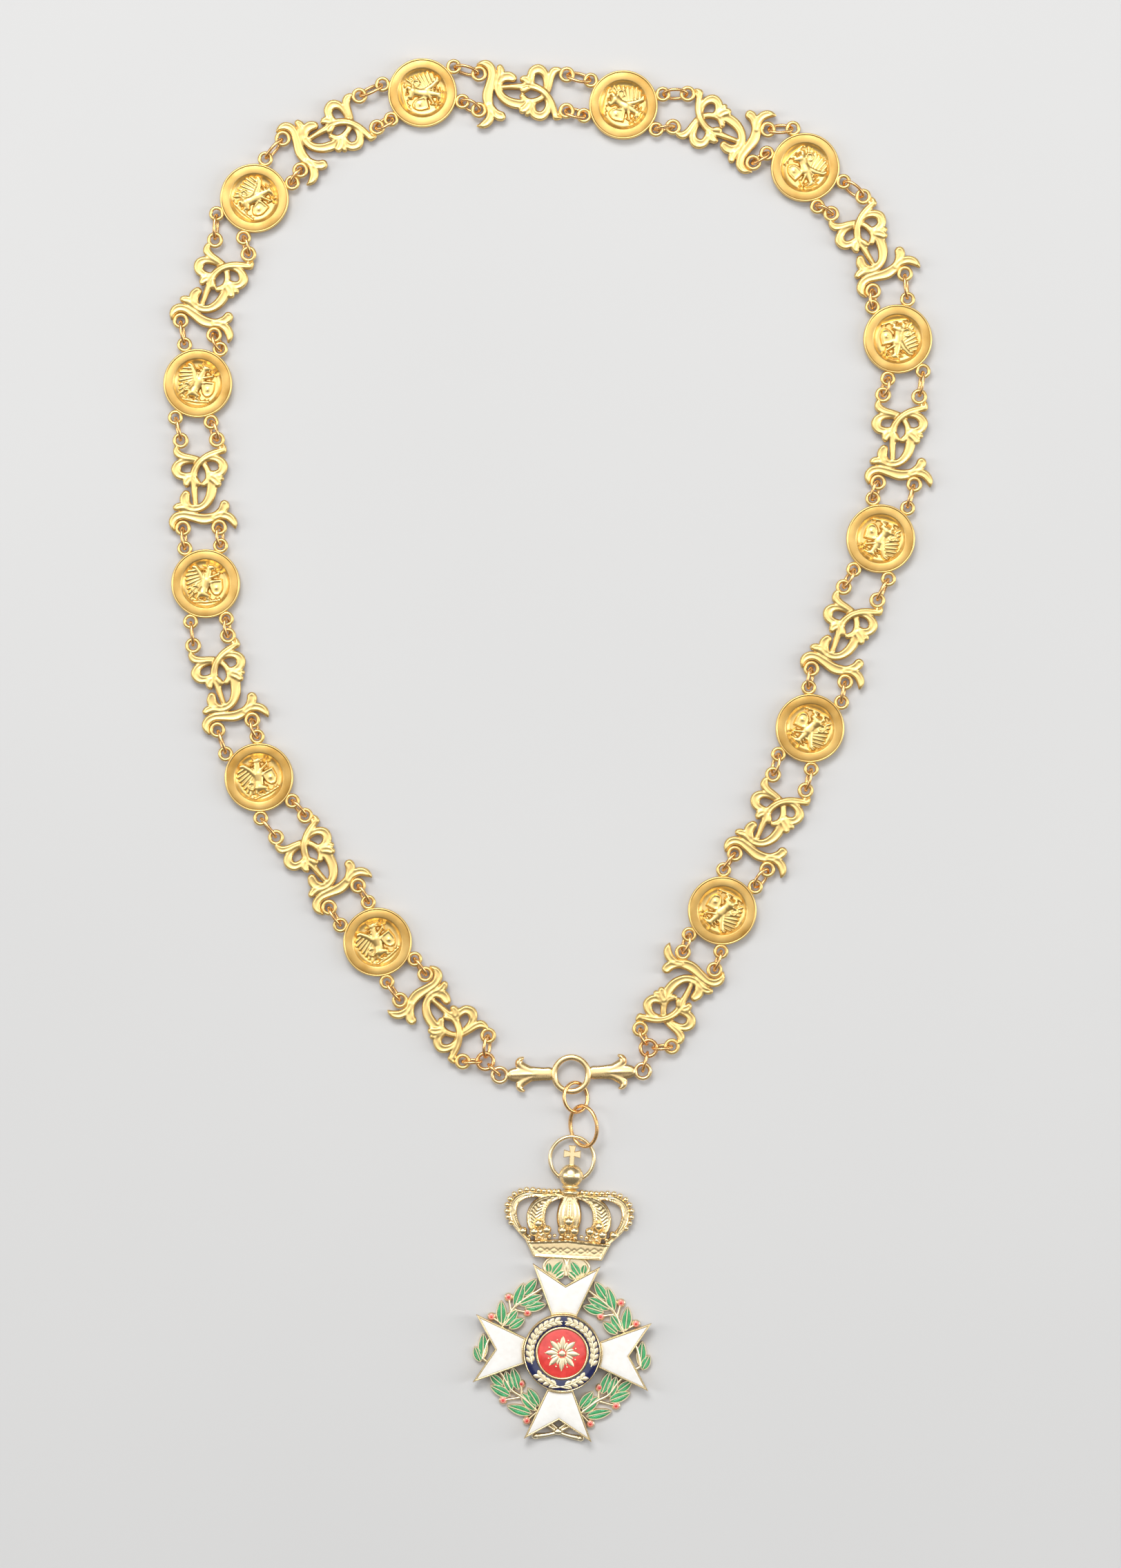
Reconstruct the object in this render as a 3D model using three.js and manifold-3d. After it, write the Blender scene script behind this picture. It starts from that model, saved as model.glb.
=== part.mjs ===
// Order insignia: a chain collar of cast gold links, laid flat in its closed loop, with a crowned and
// enamelled badge at its foot. Millimetres, +Z up, the collar lying on the plane z = 0, the badge
// toward -Y. The origin is the middle of the outline on that plane.

import * as THREE from 'three';
import { mergeVertices } from 'three/addons/utils/BufferGeometryUtils.js';
import Module from 'manifold-3d';

const wasm = await Module();
wasm.setup();

// Driving dimensions of the chain
const EYELET_Z = 2.7;             // height of every eyelet's mid plane above the table
const EYELET_THICK = 1.0;
const MEDALLION = { r: 11.5, thick: 3.8, dishR: 8.1, dishDepth: 1.5 };
const MEDALLION_EYELETS = { across: 12.0, along: 24.5, outer: 2.55, hole: 1.5 };
const SCROLL_EYELETS = { across: 12.1, along: 29.3, outer: 2.6 };
const SCROLL_BOTTOM = 1.5;
const SCROLL_TOP = 3.9;
const JUMP = { length: 7.2, height: 4.3, wire: 0.46 };   // to the middle of the wire, and its radius
const CONNECTING = { r: 2.7, wire: 0.5 };
const GAP = 0.3;                  // between pieces that touch on the real thing

// The chain, from the crossbar's left end round clockwise to its right end. Heading is the way on along
// the chain, in degrees clockwise from +Y. Loops says whether a scroll link's looped end points onward
// (1) or back (-1). Lean is how far its jump rings lie over from standing on edge: first the two at
// its back end, left and right, then the two at its front end.
const CHAIN = [
  { piece: 'scroll', x: -34.7, y: -89.6, heading: -45.7, loops: -1, lean: [10, 25, -12, 15] },
  { piece: 'medallion', x: -56.9, y: -64.3, heading: -39.3 },
  { piece: 'scroll', x: -77.1, y: -37.4, heading: -37.1, loops: 1, lean: [12, -20, 8, 20] },
  { piece: 'medallion', x: -96.5, y: -9.3, heading: -28.6 },
  { piece: 'scroll', x: -108.6, y: 22.3, heading: -16.1, loops: 1, lean: [-10, 25, 6, -22] },
  { piece: 'medallion', x: -114.3, y: 55.4, heading: -4.5 },
  { piece: 'scroll', x: -116.2, y: 88.7, heading: -1.5, loops: 1, lean: [14, 25, 10, 28] },
  { piece: 'medallion', x: -116.9, y: 122.3, heading: 7.2 },
  { piece: 'scroll', x: -111.3, y: 154.3, heading: 23.0, loops: 1, lean: [8, 28, -12, 20] },
  { piece: 'medallion', x: -98.0, y: 184.1, heading: 41.6 },
  { piece: 'scroll', x: -72.8, y: 205.9, heading: 60.8, loops: 1, lean: [15, 20, 30, 38] },
  { piece: 'medallion', x: -41.9, y: 219.3, heading: 76.1 },
  { piece: 'scroll', x: -8.4, y: 219.5, heading: 90.5, loops: 1, lean: [30, 40, 42, 42] },
  { piece: 'medallion', x: 25.2, y: 215.3, heading: 100.9 },
  { piece: 'scroll', x: 57.6, y: 207.5, heading: 114.0, loops: -1, lean: [38, 10, 40, 24] },
  { piece: 'medallion', x: 85.9, y: 194.4, heading: 136.4 },
  { piece: 'scroll', x: 106.9, y: 168.9, heading: 151.6, loops: -1, lean: [38, 20, 12, 26] },
  { piece: 'medallion', x: 116.8, y: 137.1, heading: 167.9 },
  { piece: 'scroll', x: 117.1, y: 103.5, heading: 183.2, loops: -1, lean: [10, 25, 12, 28] },
  { piece: 'medallion', x: 111.1, y: 70.4, heading: 195.1 },
  { piece: 'scroll', x: 99.0, y: 38.4, heading: 201.5, loops: -1, lean: [-14, 20, 10, 22] },
  { piece: 'medallion', x: 87.5, y: 7.1, heading: 204.4 },
  { piece: 'scroll', x: 74.2, y: -24.2, heading: 205.8, loops: -1, lean: [12, 24, 40, 14] },
  { piece: 'medallion', x: 58.2, y: -53.8, heading: 208.0 },
  { piece: 'scroll', x: 43.2, y: -83.4, heading: 209.1, loops: 1, lean: [10, 24, -14, 20] },
];

// A scroll link's bands, as centre lines of x, y and half width, its looped end toward +Y: the two that
// cross, the two loops beside them, the bent arm with its lobe, and the leaf bar with its tip
const SCROLL_BANDS = [
  [[-6.4, 14.0, 1.4], [-7.7, 10.3, 1.4], [0.2, 7.6, 1.0], [2.9, 3.6, 1.0], [1.6, -0.4, 1.2]],
  [[6.8, 14.0, 1.4], [7.6, 10.4, 1.1], [2.2, 8.9, 1.0], [-2.1, 4.0, 1.0], [-1.7, -7.0, 1.0]],
  [[-7.2, 10.0, 1.6], [-7.9, 4.4, 1.4], [-5.4, 1.4, 1.9], [-2.0, 1.6, 1.2]],
  [[7.2, 10.0, 1.4], [7.9, 4.6, 1.4], [6.2, 1.8, 2.2], [3.2, 1.9, 1.2]],
  [[3.6, 1.4, 1.7], [3.9, -2.8, 1.5], [1.2, -7.2, 1.5], [-8.4, -7.9, 1.4]],
  [[-3.9, -8.0, 1.6], [-4.8, -3.2, 1.4]],
  [[-8.2, -15.4, 1.6], [-9.2, -11.8, 1.6], [-6.4, -9.9, 1.6], [1.2, -11.7, 1.6], [6.4, -11.0, 1.7], [7.9, -6.6, 1.5]],
  [[6.0, -10.8, 1.2], [9.4, -11.4, 1.4], [11.6, -14.8, 0.3]],
];

// The crossbar, the wire rings that gather the chain's ends onto it, and the rings down to the badge.
// A pendant ring's tilt lifts its right side, and its lean turns its long axis from +Y toward -X.
const BAR = { x: 7.8, y: -108.4, turn: -1.6, bottom: 1.9, top: 3.5 };
const BAR_RING = { outer: 6.7, hole: 4.7, bottom: 2.7, top: 4.1 };
const BAR_EYELETS = { x: 23.9, y: 0.35, outer: 3.1, hole: 1.7 };
const BAR_ARM = [[5.6, 1.9], [12.5, 2.0], [15.6, 2.9], [16.2, 5.9], [18.3, 6.1], [18.6, 3.4], [22.0, 0.5]];
const CONNECTING_RINGS = [
  { name: 'left', x: -20.9, y: -104.1, side: -1 },
  { name: 'right', x: 33.6, y: -99.7, side: 1 },
];
const PENDANT_WIRE = 0.56;
const PENDANT_RINGS = [
  { name: 'upper', x: 9.3, y: -116.1, z: 3.28, width: 9.35, height: 9.9, tilt: -34, lean: 8 },
  { name: 'lower', x: 11.9, y: -125.7, z: 3.52, width: 10.5, height: 13.65, tilt: 33, lean: 7 },
];

// Driving dimensions of the badge, in its own frame with the cross's middle as origin and +Y up to the
// crown
const BADGE = { x: 4.75, y: -201.3, turn: 2.9 };
const CROSS = { tip: 29.3, tipHalf: 11.3, notch: 22.4, waist: 12.7, waistHalf: 4.25, bottom: 2.5, top: 4.0 };
const ENAMEL_EDGE = 0.6;          // width of the bare gold edge round the white enamel
const ENAMEL_THICK = 0.9;
const BOSS = { r: 12.8, rim: 12.35, blueR: 9.0, redR: 8.1, bottom: 4.3, floor: 5.3, top: 6.8 };
const WREATH = { thick: 2.2, stemHalf: 0.5, leafHalf: 1.7, stalk: 1.6, berry: 1.05, stalkHalf: 0.4, stalkTop: 1.4 };

// The wreath's right half, mirrored to the left: its stem from the tie up to the crown, its leaves from
// base to tip, its berries with the foot of each stalk, and the lobe under the crown
const WREATH_STEM = [
  [0, -26.0], [7.0, -20.4], [12.3, -16.0], [16.4, -13.4], [20.3, -8.0], [26.3, -3.6], [20.0, 8.0],
  [16.9, 13.9], [13.4, 17.0], [8.0, 20.8], [0, 27.0],
];
const WREATH_FOOT = [[-4.2, -24.4, 0.5], [0, -26.8, 0.8], [7.6, -28.4, 0.9]];
const WREATH_LOBE = [[0, 26.2], [3.2, 24.8], [6.6, 26.8], [7.0, 29.6], [3.8, 30.9], [0, 30.9]];
const WREATH_LEAVES = [
  { x: 14.0, y: 18.0, tipX: 9.7, tipY: 24.0 },
  { x: 16.6, y: 14.3, tipX: 14.0, tipY: 22.4 },
  { x: 15.2, y: 15.0, tipX: 7.5, tipY: 18.6 },
  { x: 13.3, y: 13.9, tipX: 6.1, tipY: 15.7 },
  { x: 20.7, y: 8.0, tipX: 21.2, tipY: 16.2 },
  { x: 19.8, y: 7.8, tipX: 15.5, tipY: 13.4 },
  { x: 18.2, y: 7.0, tipX: 13.0, tipY: 10.7 },
  { x: 26.3, y: -3.6, tipX: 26.6, tipY: 5.0 },
  { x: 27.0, y: -4.7, tipX: 29.3, tipY: 0.4 },
  { x: 13.8, y: -13.5, tipX: 16.4, tipY: -5.8 },
  { x: 16.5, y: -14.3, tipX: 18.5, tipY: -7.2 },
  { x: 19.1, y: -12.3, tipX: 23.8, tipY: -8.6 },
  { x: 16.4, y: -15.6, tipX: 23.5, tipY: -12.4 },
  { x: 6.8, y: -18.6, tipX: 11.0, tipY: -12.6 },
  { x: 7.8, y: -20.0, tipX: 13.3, tipY: -14.2 },
  { x: 9.0, y: -21.2, tipX: 17.6, tipY: -18.9 },
];
const WREATH_BERRIES = [
  { x: 18.8, y: 17.4, footX: 17.8, footY: 12.5 },
  { x: 12.2, y: 12.5, footX: 16.6, footY: 13.4 },
  { x: 24.2, y: 10.6, footX: 20.4, footY: 8.2 },
  { x: 13.1, y: -11.3, footX: 12.8, footY: -15.5 },
  { x: 18.9, y: -17.1, footX: 12.8, footY: -15.8 },
  { x: 10.6, y: -23.5, footX: 7.2, footY: -20.3 },
];

// The crown, in the badge's frame: its left half, as bands of x, y and half width, and balls of x, y
// and radius, both mirrored to the right
const CROWN = { bottom: 0.5, top: 3.7, ballTop: 4.5 };
const CIRCLET = [[-14.3, 37.0], [-11.4, 31.3], [11.5, 31.2], [14.5, 37.0], [0, 37.7]];
const CROWN_OUTER_ARCH = [[-13.2, 36.4, 1.3], [-18.2, 42.8, 1.4], [-19.1, 47.2, 1.7], [-16.6, 51.5, 1.5], [0, 52.9, 1.0]];
const CROWN_INNER_ARCH = [[0, 52.6, 0.8], [-7.9, 50.4, 1.5], [-11.0, 46.6, 3.1], [-9.4, 37.0, 2.5]];
const CROWN_MIDDLE = [
  [-1.2, 36.8], [-3.8, 42.6], [-4.1, 46.2], [-2.4, 51.4], [2.4, 51.4], [4.1, 46.2], [3.8, 42.6], [1.2, 36.8],
];
const CROWN_BALLS = [[-10.1, 42.6, 1.6], [-11.3, 39.9, 1.5], [-7.2, 40.6, 1.5], [-15.2, 40.0, 1.4], [-2.0, 40.9, 1.5]];
const ORB = { y: 59.1, r: 3.85, z: 3.9 };
const COLLAR = [[-2.4, 52.0], [2.4, 52.0], [3.0, 54.0], [1.9, 56.4], [-1.9, 56.4], [-3.0, 54.0]];
const ORB_CROSS = { y: 66.4, arm: 2.85, end: 1.15, waist: 0.65, foot: 4.3, bottom: 3.2, top: 4.6 };
const BAIL = { y: 64.8, r: 7.35, wire: 0.62, z: 2.5 };

// How finely round shapes are cut
const SIDES = { disc: 12, eyelet: 6, hole: 6, jump: 10, ring: 14, wire: 5, ball: 5, boss: 14 };

// The middle of the whole outline in the tables' frame
const OUTLINE_CENTRE = { x: -0.1, y: -0.28 };

const COLOURS = {
  gold: '#e2bd55', copper: '#d9985a', white: '#f4f3ee', blue: '#1d2252', red: '#cf4640', green: '#2f9a5d',
};

function metal(colour, roughness = 0.32) {
  return new THREE.MeshStandardMaterial({ color: colour, roughness, metalness: 1 });
}

function enamel(colour) {
  return new THREE.MeshStandardMaterial({ color: colour, roughness: 0.18, metalness: 0 });
}

const radians = THREE.MathUtils.degToRad;

// Solids

function toSolid(geometry) {
  const bare = geometry.clone();
  bare.deleteAttribute('normal');
  bare.deleteAttribute('uv');
  const merged = mergeVertices(bare, 1e-4);
  return new wasm.Manifold(new wasm.Mesh({
    numProp: 3,
    vertProperties: new Float32Array(merged.attributes.position.array),
    triVerts: new Uint32Array(merged.index.array),
  }));
}

// Joins pieces that overlap into one solid, and drops facets smaller than the tolerance
function join(geometries, tolerance = 0.2) {
  let whole = toSolid(geometries[0]);
  for (const geometry of geometries.slice(1)) whole = whole.add(toSolid(geometry));
  return fromSolid(whole.asOriginal().simplify(tolerance));
}

function fromSolid(solid) {
  const mesh = solid.getMesh();
  const geometry = new THREE.BufferGeometry();
  geometry.setAttribute('position', new THREE.BufferAttribute(mesh.vertProperties, 3));
  geometry.setIndex(new THREE.BufferAttribute(mesh.triVerts, 1));
  return geometry;
}

function prism(points, bottom, top, hole = null) {
  const shape = new THREE.Shape(points.map(([x, y]) => new THREE.Vector2(x, y)));
  if (hole) shape.holes.push(new THREE.Path(hole.map(([x, y]) => new THREE.Vector2(x, y))));
  return new THREE.ExtrudeGeometry(shape, { depth: top - bottom, bevelEnabled: false }).translate(0, 0, bottom);
}

function circle(x, y, radius, sides, turn = 0) {
  return Array.from({ length: sides }, (_, i) => {
    const angle = (i / sides) * 2 * Math.PI + turn;
    return [x + radius * Math.cos(angle), y + radius * Math.sin(angle)];
  });
}

// A washer that lies flat, its hole's flats at the given radius
function washer(x, y, outer, hole, turn = 0) {
  const corner = hole / Math.cos(Math.PI / SIDES.hole);
  return prism(
    circle(x, y, outer, SIDES.eyelet, turn),
    EYELET_Z - EYELET_THICK / 2,
    EYELET_Z + EYELET_THICK / 2,
    circle(x, y, corner, SIDES.hole, turn),
  );
}

// A flat band along a centre line of x, y and half width
function band(rows, bottom, top) {
  const left = [];
  const right = [];
  rows.forEach(([x, y, half], i) => {
    const before = rows[Math.max(i - 1, 0)];
    const after = rows[Math.min(i + 1, rows.length - 1)];
    const length = Math.hypot(after[0] - before[0], after[1] - before[1]);
    const normal = [-(after[1] - before[1]) / length, (after[0] - before[0]) / length];
    left.push([x + normal[0] * half, y + normal[1] * half]);
    right.push([x - normal[0] * half, y - normal[1] * half]);
  });
  return prism([...right, ...left.reverse()], bottom, top);
}

// A closed wire ring in the XY plane, an ellipse of the given width and height to the wire's middle
function wireRing(width, height, wire, sides) {
  const tube = 0.1;
  const geometry = new THREE.TorusGeometry(1, tube, SIDES.wire, sides);
  const position = geometry.attributes.position;
  for (let i = 0; i < position.count; i++) {
    const angle = Math.atan2(position.getY(i), position.getX(i));
    const outward = ((Math.hypot(position.getX(i), position.getY(i)) - 1) / tube) * wire;
    const normal = new THREE.Vector2(Math.cos(angle) / width, Math.sin(angle) / height).normalize();
    position.setXYZ(
      i,
      (width / 2) * Math.cos(angle) + normal.x * outward,
      (height / 2) * Math.sin(angle) + normal.y * outward,
      (position.getZ(i) / tube) * wire,
    );
  }
  return geometry;
}

function named(name, geometry, material) {
  const mesh = new THREE.Mesh(geometry, material);
  mesh.name = name;
  return mesh;
}

// Places on the chain

// The eyelet at a piece's front (end = 1) or back (end = -1), on its right (side = 1) or left (side = -1)
function eyelet(piece, end, side) {
  const size = piece.piece === 'scroll' ? SCROLL_EYELETS : MEDALLION_EYELETS;
  const heading = radians(piece.heading);
  const ahead = new THREE.Vector2(Math.sin(heading), Math.cos(heading));
  const right = new THREE.Vector2(ahead.y, -ahead.x);
  return new THREE.Vector2(piece.x, piece.y)
    .addScaledVector(ahead, (end * size.along) / 2)
    .addScaledVector(right, (side * size.across) / 2);
}

function barEyelet(side) {
  const point = new THREE.Vector2(side * BAR_EYELETS.x, BAR_EYELETS.y);
  return point.rotateAround(new THREE.Vector2(), -radians(BAR.turn)).add(new THREE.Vector2(BAR.x, BAR.y));
}

// Just inside a connecting ring's wire, on the side that faces a point
function insideConnectingRing(ring, facing) {
  const centre = new THREE.Vector2(ring.x, ring.y);
  const way = facing.clone().sub(centre).normalize();
  return centre.addScaledVector(way, CONNECTING.r - CONNECTING.wire - JUMP.wire - GAP);
}

// A jump ring on edge between two points, leaning over by the given angle
function jumpRing(from, to, length, lean) {
  const ring = wireRing(length, JUMP.height, JUMP.wire, SIDES.jump);
  ring.rotateX(Math.PI / 2 + radians(lean));
  ring.rotateZ(Math.atan2(to.y - from.y, to.x - from.x));
  return ring.translate((from.x + to.x) / 2, (from.y + to.y) / 2, EYELET_Z);
}

// The jump ring from a scroll link's eyelet to the next medallion's, or to the connecting ring
function jumpRingFrom(index, end, side, lean) {
  const from = eyelet(CHAIN[index], end, side);
  const next = CHAIN[index + end];
  if (next) {
    const to = eyelet(next, -end, side);
    return jumpRing(from, to, (JUMP.length + from.distanceTo(to)) / 2, lean);
  }
  const to = insideConnectingRing(CONNECTING_RINGS[end === 1 ? 1 : 0], from);
  return jumpRing(from, to, from.distanceTo(to), lean);
}

// The chain's pieces

function medallionGeometry() {
  const { r, thick, dishR, dishDepth } = MEDALLION;
  const floor = thick - dishDepth;
  const profile = [[0, 0], [r, 0], [r, thick], [dishR, thick], [dishR - 0.6, floor], [0, floor]];
  const disc = new THREE.LatheGeometry(profile.map(([x, z]) => new THREE.Vector2(x, z)), SIDES.disc);
  const beast = [[-5.6, -5.0], [5.0, -5.0], [5.6, 1.0], [1.2, 6.4], [-5.8, 2.6]];
  const parts = [disc.rotateX(Math.PI / 2), prism(beast, floor - GAP, thick - 0.1)];
  for (const end of [-1, 1]) {
    for (const side of [-1, 1]) {
      const x = (side * MEDALLION_EYELETS.across) / 2;
      const y = (end * MEDALLION_EYELETS.along) / 2;
      parts.push(washer(x, y, MEDALLION_EYELETS.outer, MEDALLION_EYELETS.hole, Math.atan2(y, x)));
    }
  }
  return join(parts);
}

function scrollOpenwork() {
  const parts = SCROLL_BANDS.map((rows) => band(rows, SCROLL_BOTTOM, SCROLL_TOP));
  for (const end of [-1, 1]) {
    for (const side of [-1, 1]) {
      const x = (side * SCROLL_EYELETS.across) / 2;
      const y = (end * SCROLL_EYELETS.along) / 2;
      const disc = circle(x, y, SCROLL_EYELETS.outer, SIDES.eyelet, Math.atan2(y, x));
      parts.push(prism(disc, SCROLL_BOTTOM, SCROLL_TOP));
    }
  }
  return join(parts, GAP);
}

// A scroll link, with the four jump rings that hang in its eyelets and pass through its neighbours'
function scrollLink(name, index, openwork) {
  const piece = CHAIN[index];
  const turn = radians(piece.heading) + (piece.loops === 1 ? 0 : Math.PI);
  const mesh = named(name, openwork, metal(COLOURS.gold));
  mesh.position.set(piece.x, piece.y, 0);
  mesh.rotation.z = -turn;
  mesh.updateMatrixWorld();
  const toLink = mesh.matrixWorld.clone().invert();
  const rings = [[-1, -1], [-1, 1], [1, -1], [1, 1]].map(([end, side], i) => (
    jumpRingFrom(index, end, side, piece.lean[i]).applyMatrix4(toLink)
  ));
  mesh.geometry = join([openwork, ...rings]);
  return mesh;
}

function chain() {
  const group = new THREE.Group();
  const openwork = scrollOpenwork();
  const medallion = medallionGeometry();
  CHAIN.forEach((piece, index) => {
    const number = String(Math.floor(index / 2) + 1).padStart(2, '0');
    if (piece.piece === 'scroll') {
      group.add(scrollLink(`scroll_link_${number}`, index, openwork));
      return;
    }
    const mesh = named(`medallion_${number}`, medallion, metal(COLOURS.gold));
    mesh.position.set(piece.x, piece.y, 0);
    mesh.rotation.z = -radians(piece.heading);
    group.add(mesh);
  });
  return group;
}

// The crossbar and its rings

function crossbar() {
  const { bottom, top } = BAR;
  const { outer, hole } = BAR_RING;
  const parts = [
    prism(circle(0, 0, outer, SIDES.ring), BAR_RING.bottom, BAR_RING.top, circle(0, 0, hole, SIDES.ring)),
  ];
  for (const side of [-1, 1]) {
    const above = BAR_ARM.map(([x, half]) => [side * x, half]);
    const below = BAR_ARM.map(([x, half]) => [side * x, -half]).reverse();
    parts.push(prism([...above, ...below], bottom, top));
    parts.push(washer(side * BAR_EYELETS.x, BAR_EYELETS.y, BAR_EYELETS.outer, BAR_EYELETS.hole));
  }
  const mesh = named('crossbar', join(parts, 0.05), metal(COLOURS.gold));
  mesh.position.set(BAR.x, BAR.y, 0);
  mesh.rotation.z = -radians(BAR.turn);
  return mesh;
}

function wireRings() {
  const group = new THREE.Group();
  for (const ring of CONNECTING_RINGS) {
    const geometry = wireRing(2 * CONNECTING.r, 2 * CONNECTING.r, CONNECTING.wire, SIDES.jump);
    const mesh = named(`connecting_ring_${ring.name}`, geometry, metal(COLOURS.copper));
    mesh.position.set(ring.x, ring.y, EYELET_Z);
    const to = barEyelet(ring.side);
    const from = insideConnectingRing(ring, to);
    const link = jumpRing(from, to, from.distanceTo(to), 0);
    group.add(mesh, named(`bar_ring_${ring.name}`, link, metal(COLOURS.copper)));
  }
  for (const ring of PENDANT_RINGS) {
    const geometry = wireRing(ring.width, ring.height, PENDANT_WIRE, SIDES.ring);
    geometry.rotateY(-radians(ring.tilt)).rotateZ(radians(ring.lean));
    const mesh = named(`pendant_ring_${ring.name}`, geometry, metal(COLOURS.copper));
    mesh.position.set(ring.x, ring.y, ring.z);
    group.add(mesh);
  }
  return group;
}

// The badge's pieces, each about the cross's middle

function mirrored(rows) {
  return rows.map(([x, ...rest]) => [-x, ...rest]);
}

function crossArm(inset) {
  const { tip, tipHalf, notch, waist, waistHalf } = CROSS;
  const inner = inset > 0 ? BOSS.r + GAP : waist - 3;
  return [
    [-waistHalf + inset, inner],
    [waistHalf - inset, inner],
    [tipHalf - 1.6 * inset, tip - 1.9 * inset],
    [0, notch - 1.3 * inset],
    [-tipHalf + 1.6 * inset, tip - 1.9 * inset],
  ];
}

function cross() {
  const group = new THREE.Group();
  const arms = [0, 1, 2, 3].map((i) => (
    prism(crossArm(0), CROSS.bottom, CROSS.top).rotateZ((-i * Math.PI) / 2)
  ));
  const hub = prism(circle(0, 0, CROSS.waist - 0.5, SIDES.boss), CROSS.bottom, CROSS.top);
  group.add(named('cross_body', join([hub, ...arms]), metal(COLOURS.gold)));
  ['top', 'right', 'bottom', 'left'].forEach((place, i) => {
    const bottom = CROSS.top + GAP;
    const geometry = prism(crossArm(ENAMEL_EDGE), bottom, bottom + ENAMEL_THICK).rotateZ((-i * Math.PI) / 2);
    group.add(named(`enamel_arm_${place}`, geometry, enamel(COLOURS.white)));
  });
  return group;
}

function ringPrism(inner, outer, bottom, top) {
  return prism(circle(0, 0, outer, SIDES.boss), bottom, top, circle(0, 0, inner, SIDES.boss));
}

function centre() {
  const { r, rim, blueR, redR, bottom, floor, top } = BOSS;
  const boss = join([
    prism(circle(0, 0, r, SIDES.boss), bottom, floor),
    ringPrism(rim, r, floor - GAP, top),
    ringPrism(redR, blueR, floor - GAP, top),
  ]);
  const group = new THREE.Group();
  group.add(
    named('centre_boss', boss, metal(COLOURS.gold)),
    named('centre_ring_blue', ringPrism(blueR + GAP, rim - GAP, floor + GAP, top - GAP), enamel(COLOURS.blue)),
    named('centre_disc_red', prism(circle(0, 0, redR - GAP, SIDES.boss), floor + GAP, top - GAP), enamel(COLOURS.red)),
  );
  return group;
}

// A laurel leaf from its base to its tip, its stalk running back into the stem
function leaf({ x, y, tipX, tipY }) {
  const { stalk, leafHalf, thick } = WREATH;
  const length = Math.hypot(tipX - x, tipY - y);
  const along = [(tipX - x) / length, (tipY - y) / length];
  const outline = [[-stalk, 0], [0.42 * length, -leafHalf], [length, 0], [0.42 * length, leafHalf]];
  return prism(
    outline.map(([u, v]) => [x + along[0] * u - along[1] * v, y + along[1] * u + along[0] * v]),
    0,
    thick,
  );
}

function wreathHalf() {
  const { thick, stemHalf, stalkHalf, stalkTop, berry } = WREATH;
  const parts = [
    band(WREATH_STEM.map(([x, y]) => [x, y, stemHalf]), 0, thick),
    band(WREATH_FOOT, 0, thick),
    prism(WREATH_LOBE, 0, thick),
    ...WREATH_LEAVES.map(leaf),
  ];
  for (const { x, y, footX, footY } of WREATH_BERRIES) {
    parts.push(band([[footX, footY, stalkHalf], [x, y, stalkHalf]], 0, stalkTop));
    parts.push(prism(circle(x, y, berry, SIDES.ball), 0, thick));
  }
  return toSolid(join(parts));
}

function wreath() {
  const right = wreathHalf();
  return named('wreath', fromSolid(right.add(right.mirror([1, 0, 0]))), metal(COLOURS.green, 0.25));
}

function crownArches() {
  const { bottom, top } = CROWN;
  const parts = [prism(CROWN_MIDDLE, bottom, top), prism(CIRCLET, bottom, top)];
  for (const rows of [CROWN_OUTER_ARCH, CROWN_INNER_ARCH]) {
    parts.push(band(rows, bottom, top), band(mirrored(rows), bottom, top));
  }
  return parts;
}

function crownTop() {
  const { y, arm, end, waist, foot, bottom, top } = ORB_CROSS;
  const quarter = [[end, arm], [waist, waist], [arm, end], [arm, -end], [waist, -waist]];
  const outline = [...quarter, [waist, -foot], [-waist, -foot], ...mirrored(quarter).reverse()];
  const orb = new THREE.SphereGeometry(ORB.r, SIDES.jump, 6).translate(0, ORB.y, ORB.z);
  const bail = wireRing(2 * BAIL.r, 2 * BAIL.r, BAIL.wire, SIDES.ring).translate(0, BAIL.y, BAIL.z);
  return [
    prism(COLLAR, CROWN.bottom + 1, CROWN.top + 1.5),
    orb,
    prism(outline.map(([u, v]) => [u, v + y]), bottom, top),
    bail,
  ];
}

function crown() {
  const balls = [...CROWN_BALLS, ...mirrored(CROWN_BALLS), [0, 43.8, 1.6]].map(([x, y, r]) => (
    prism(circle(x, y, r, SIDES.ball, Math.PI / 2), CROWN.bottom + 1, CROWN.ballTop)
  ));
  return named('crown', join([...crownArches(), ...balls, ...crownTop()], 0.05), metal(COLOURS.gold));
}

function badge() {
  const group = new THREE.Group();
  group.add(crown(), wreath(), cross(), centre());
  group.position.set(BADGE.x, BADGE.y, 0);
  group.rotation.z = -radians(BADGE.turn);
  return group;
}

const insignia = new THREE.Group();
insignia.add(chain(), crossbar(), wireRings(), badge());
insignia.position.set(-OUTLINE_CENTRE.x, -OUTLINE_CENTRE.y, 0);

export default insignia;
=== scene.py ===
import math

import bmesh
import bpy
import numpy as np
from mathutils import Matrix


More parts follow.
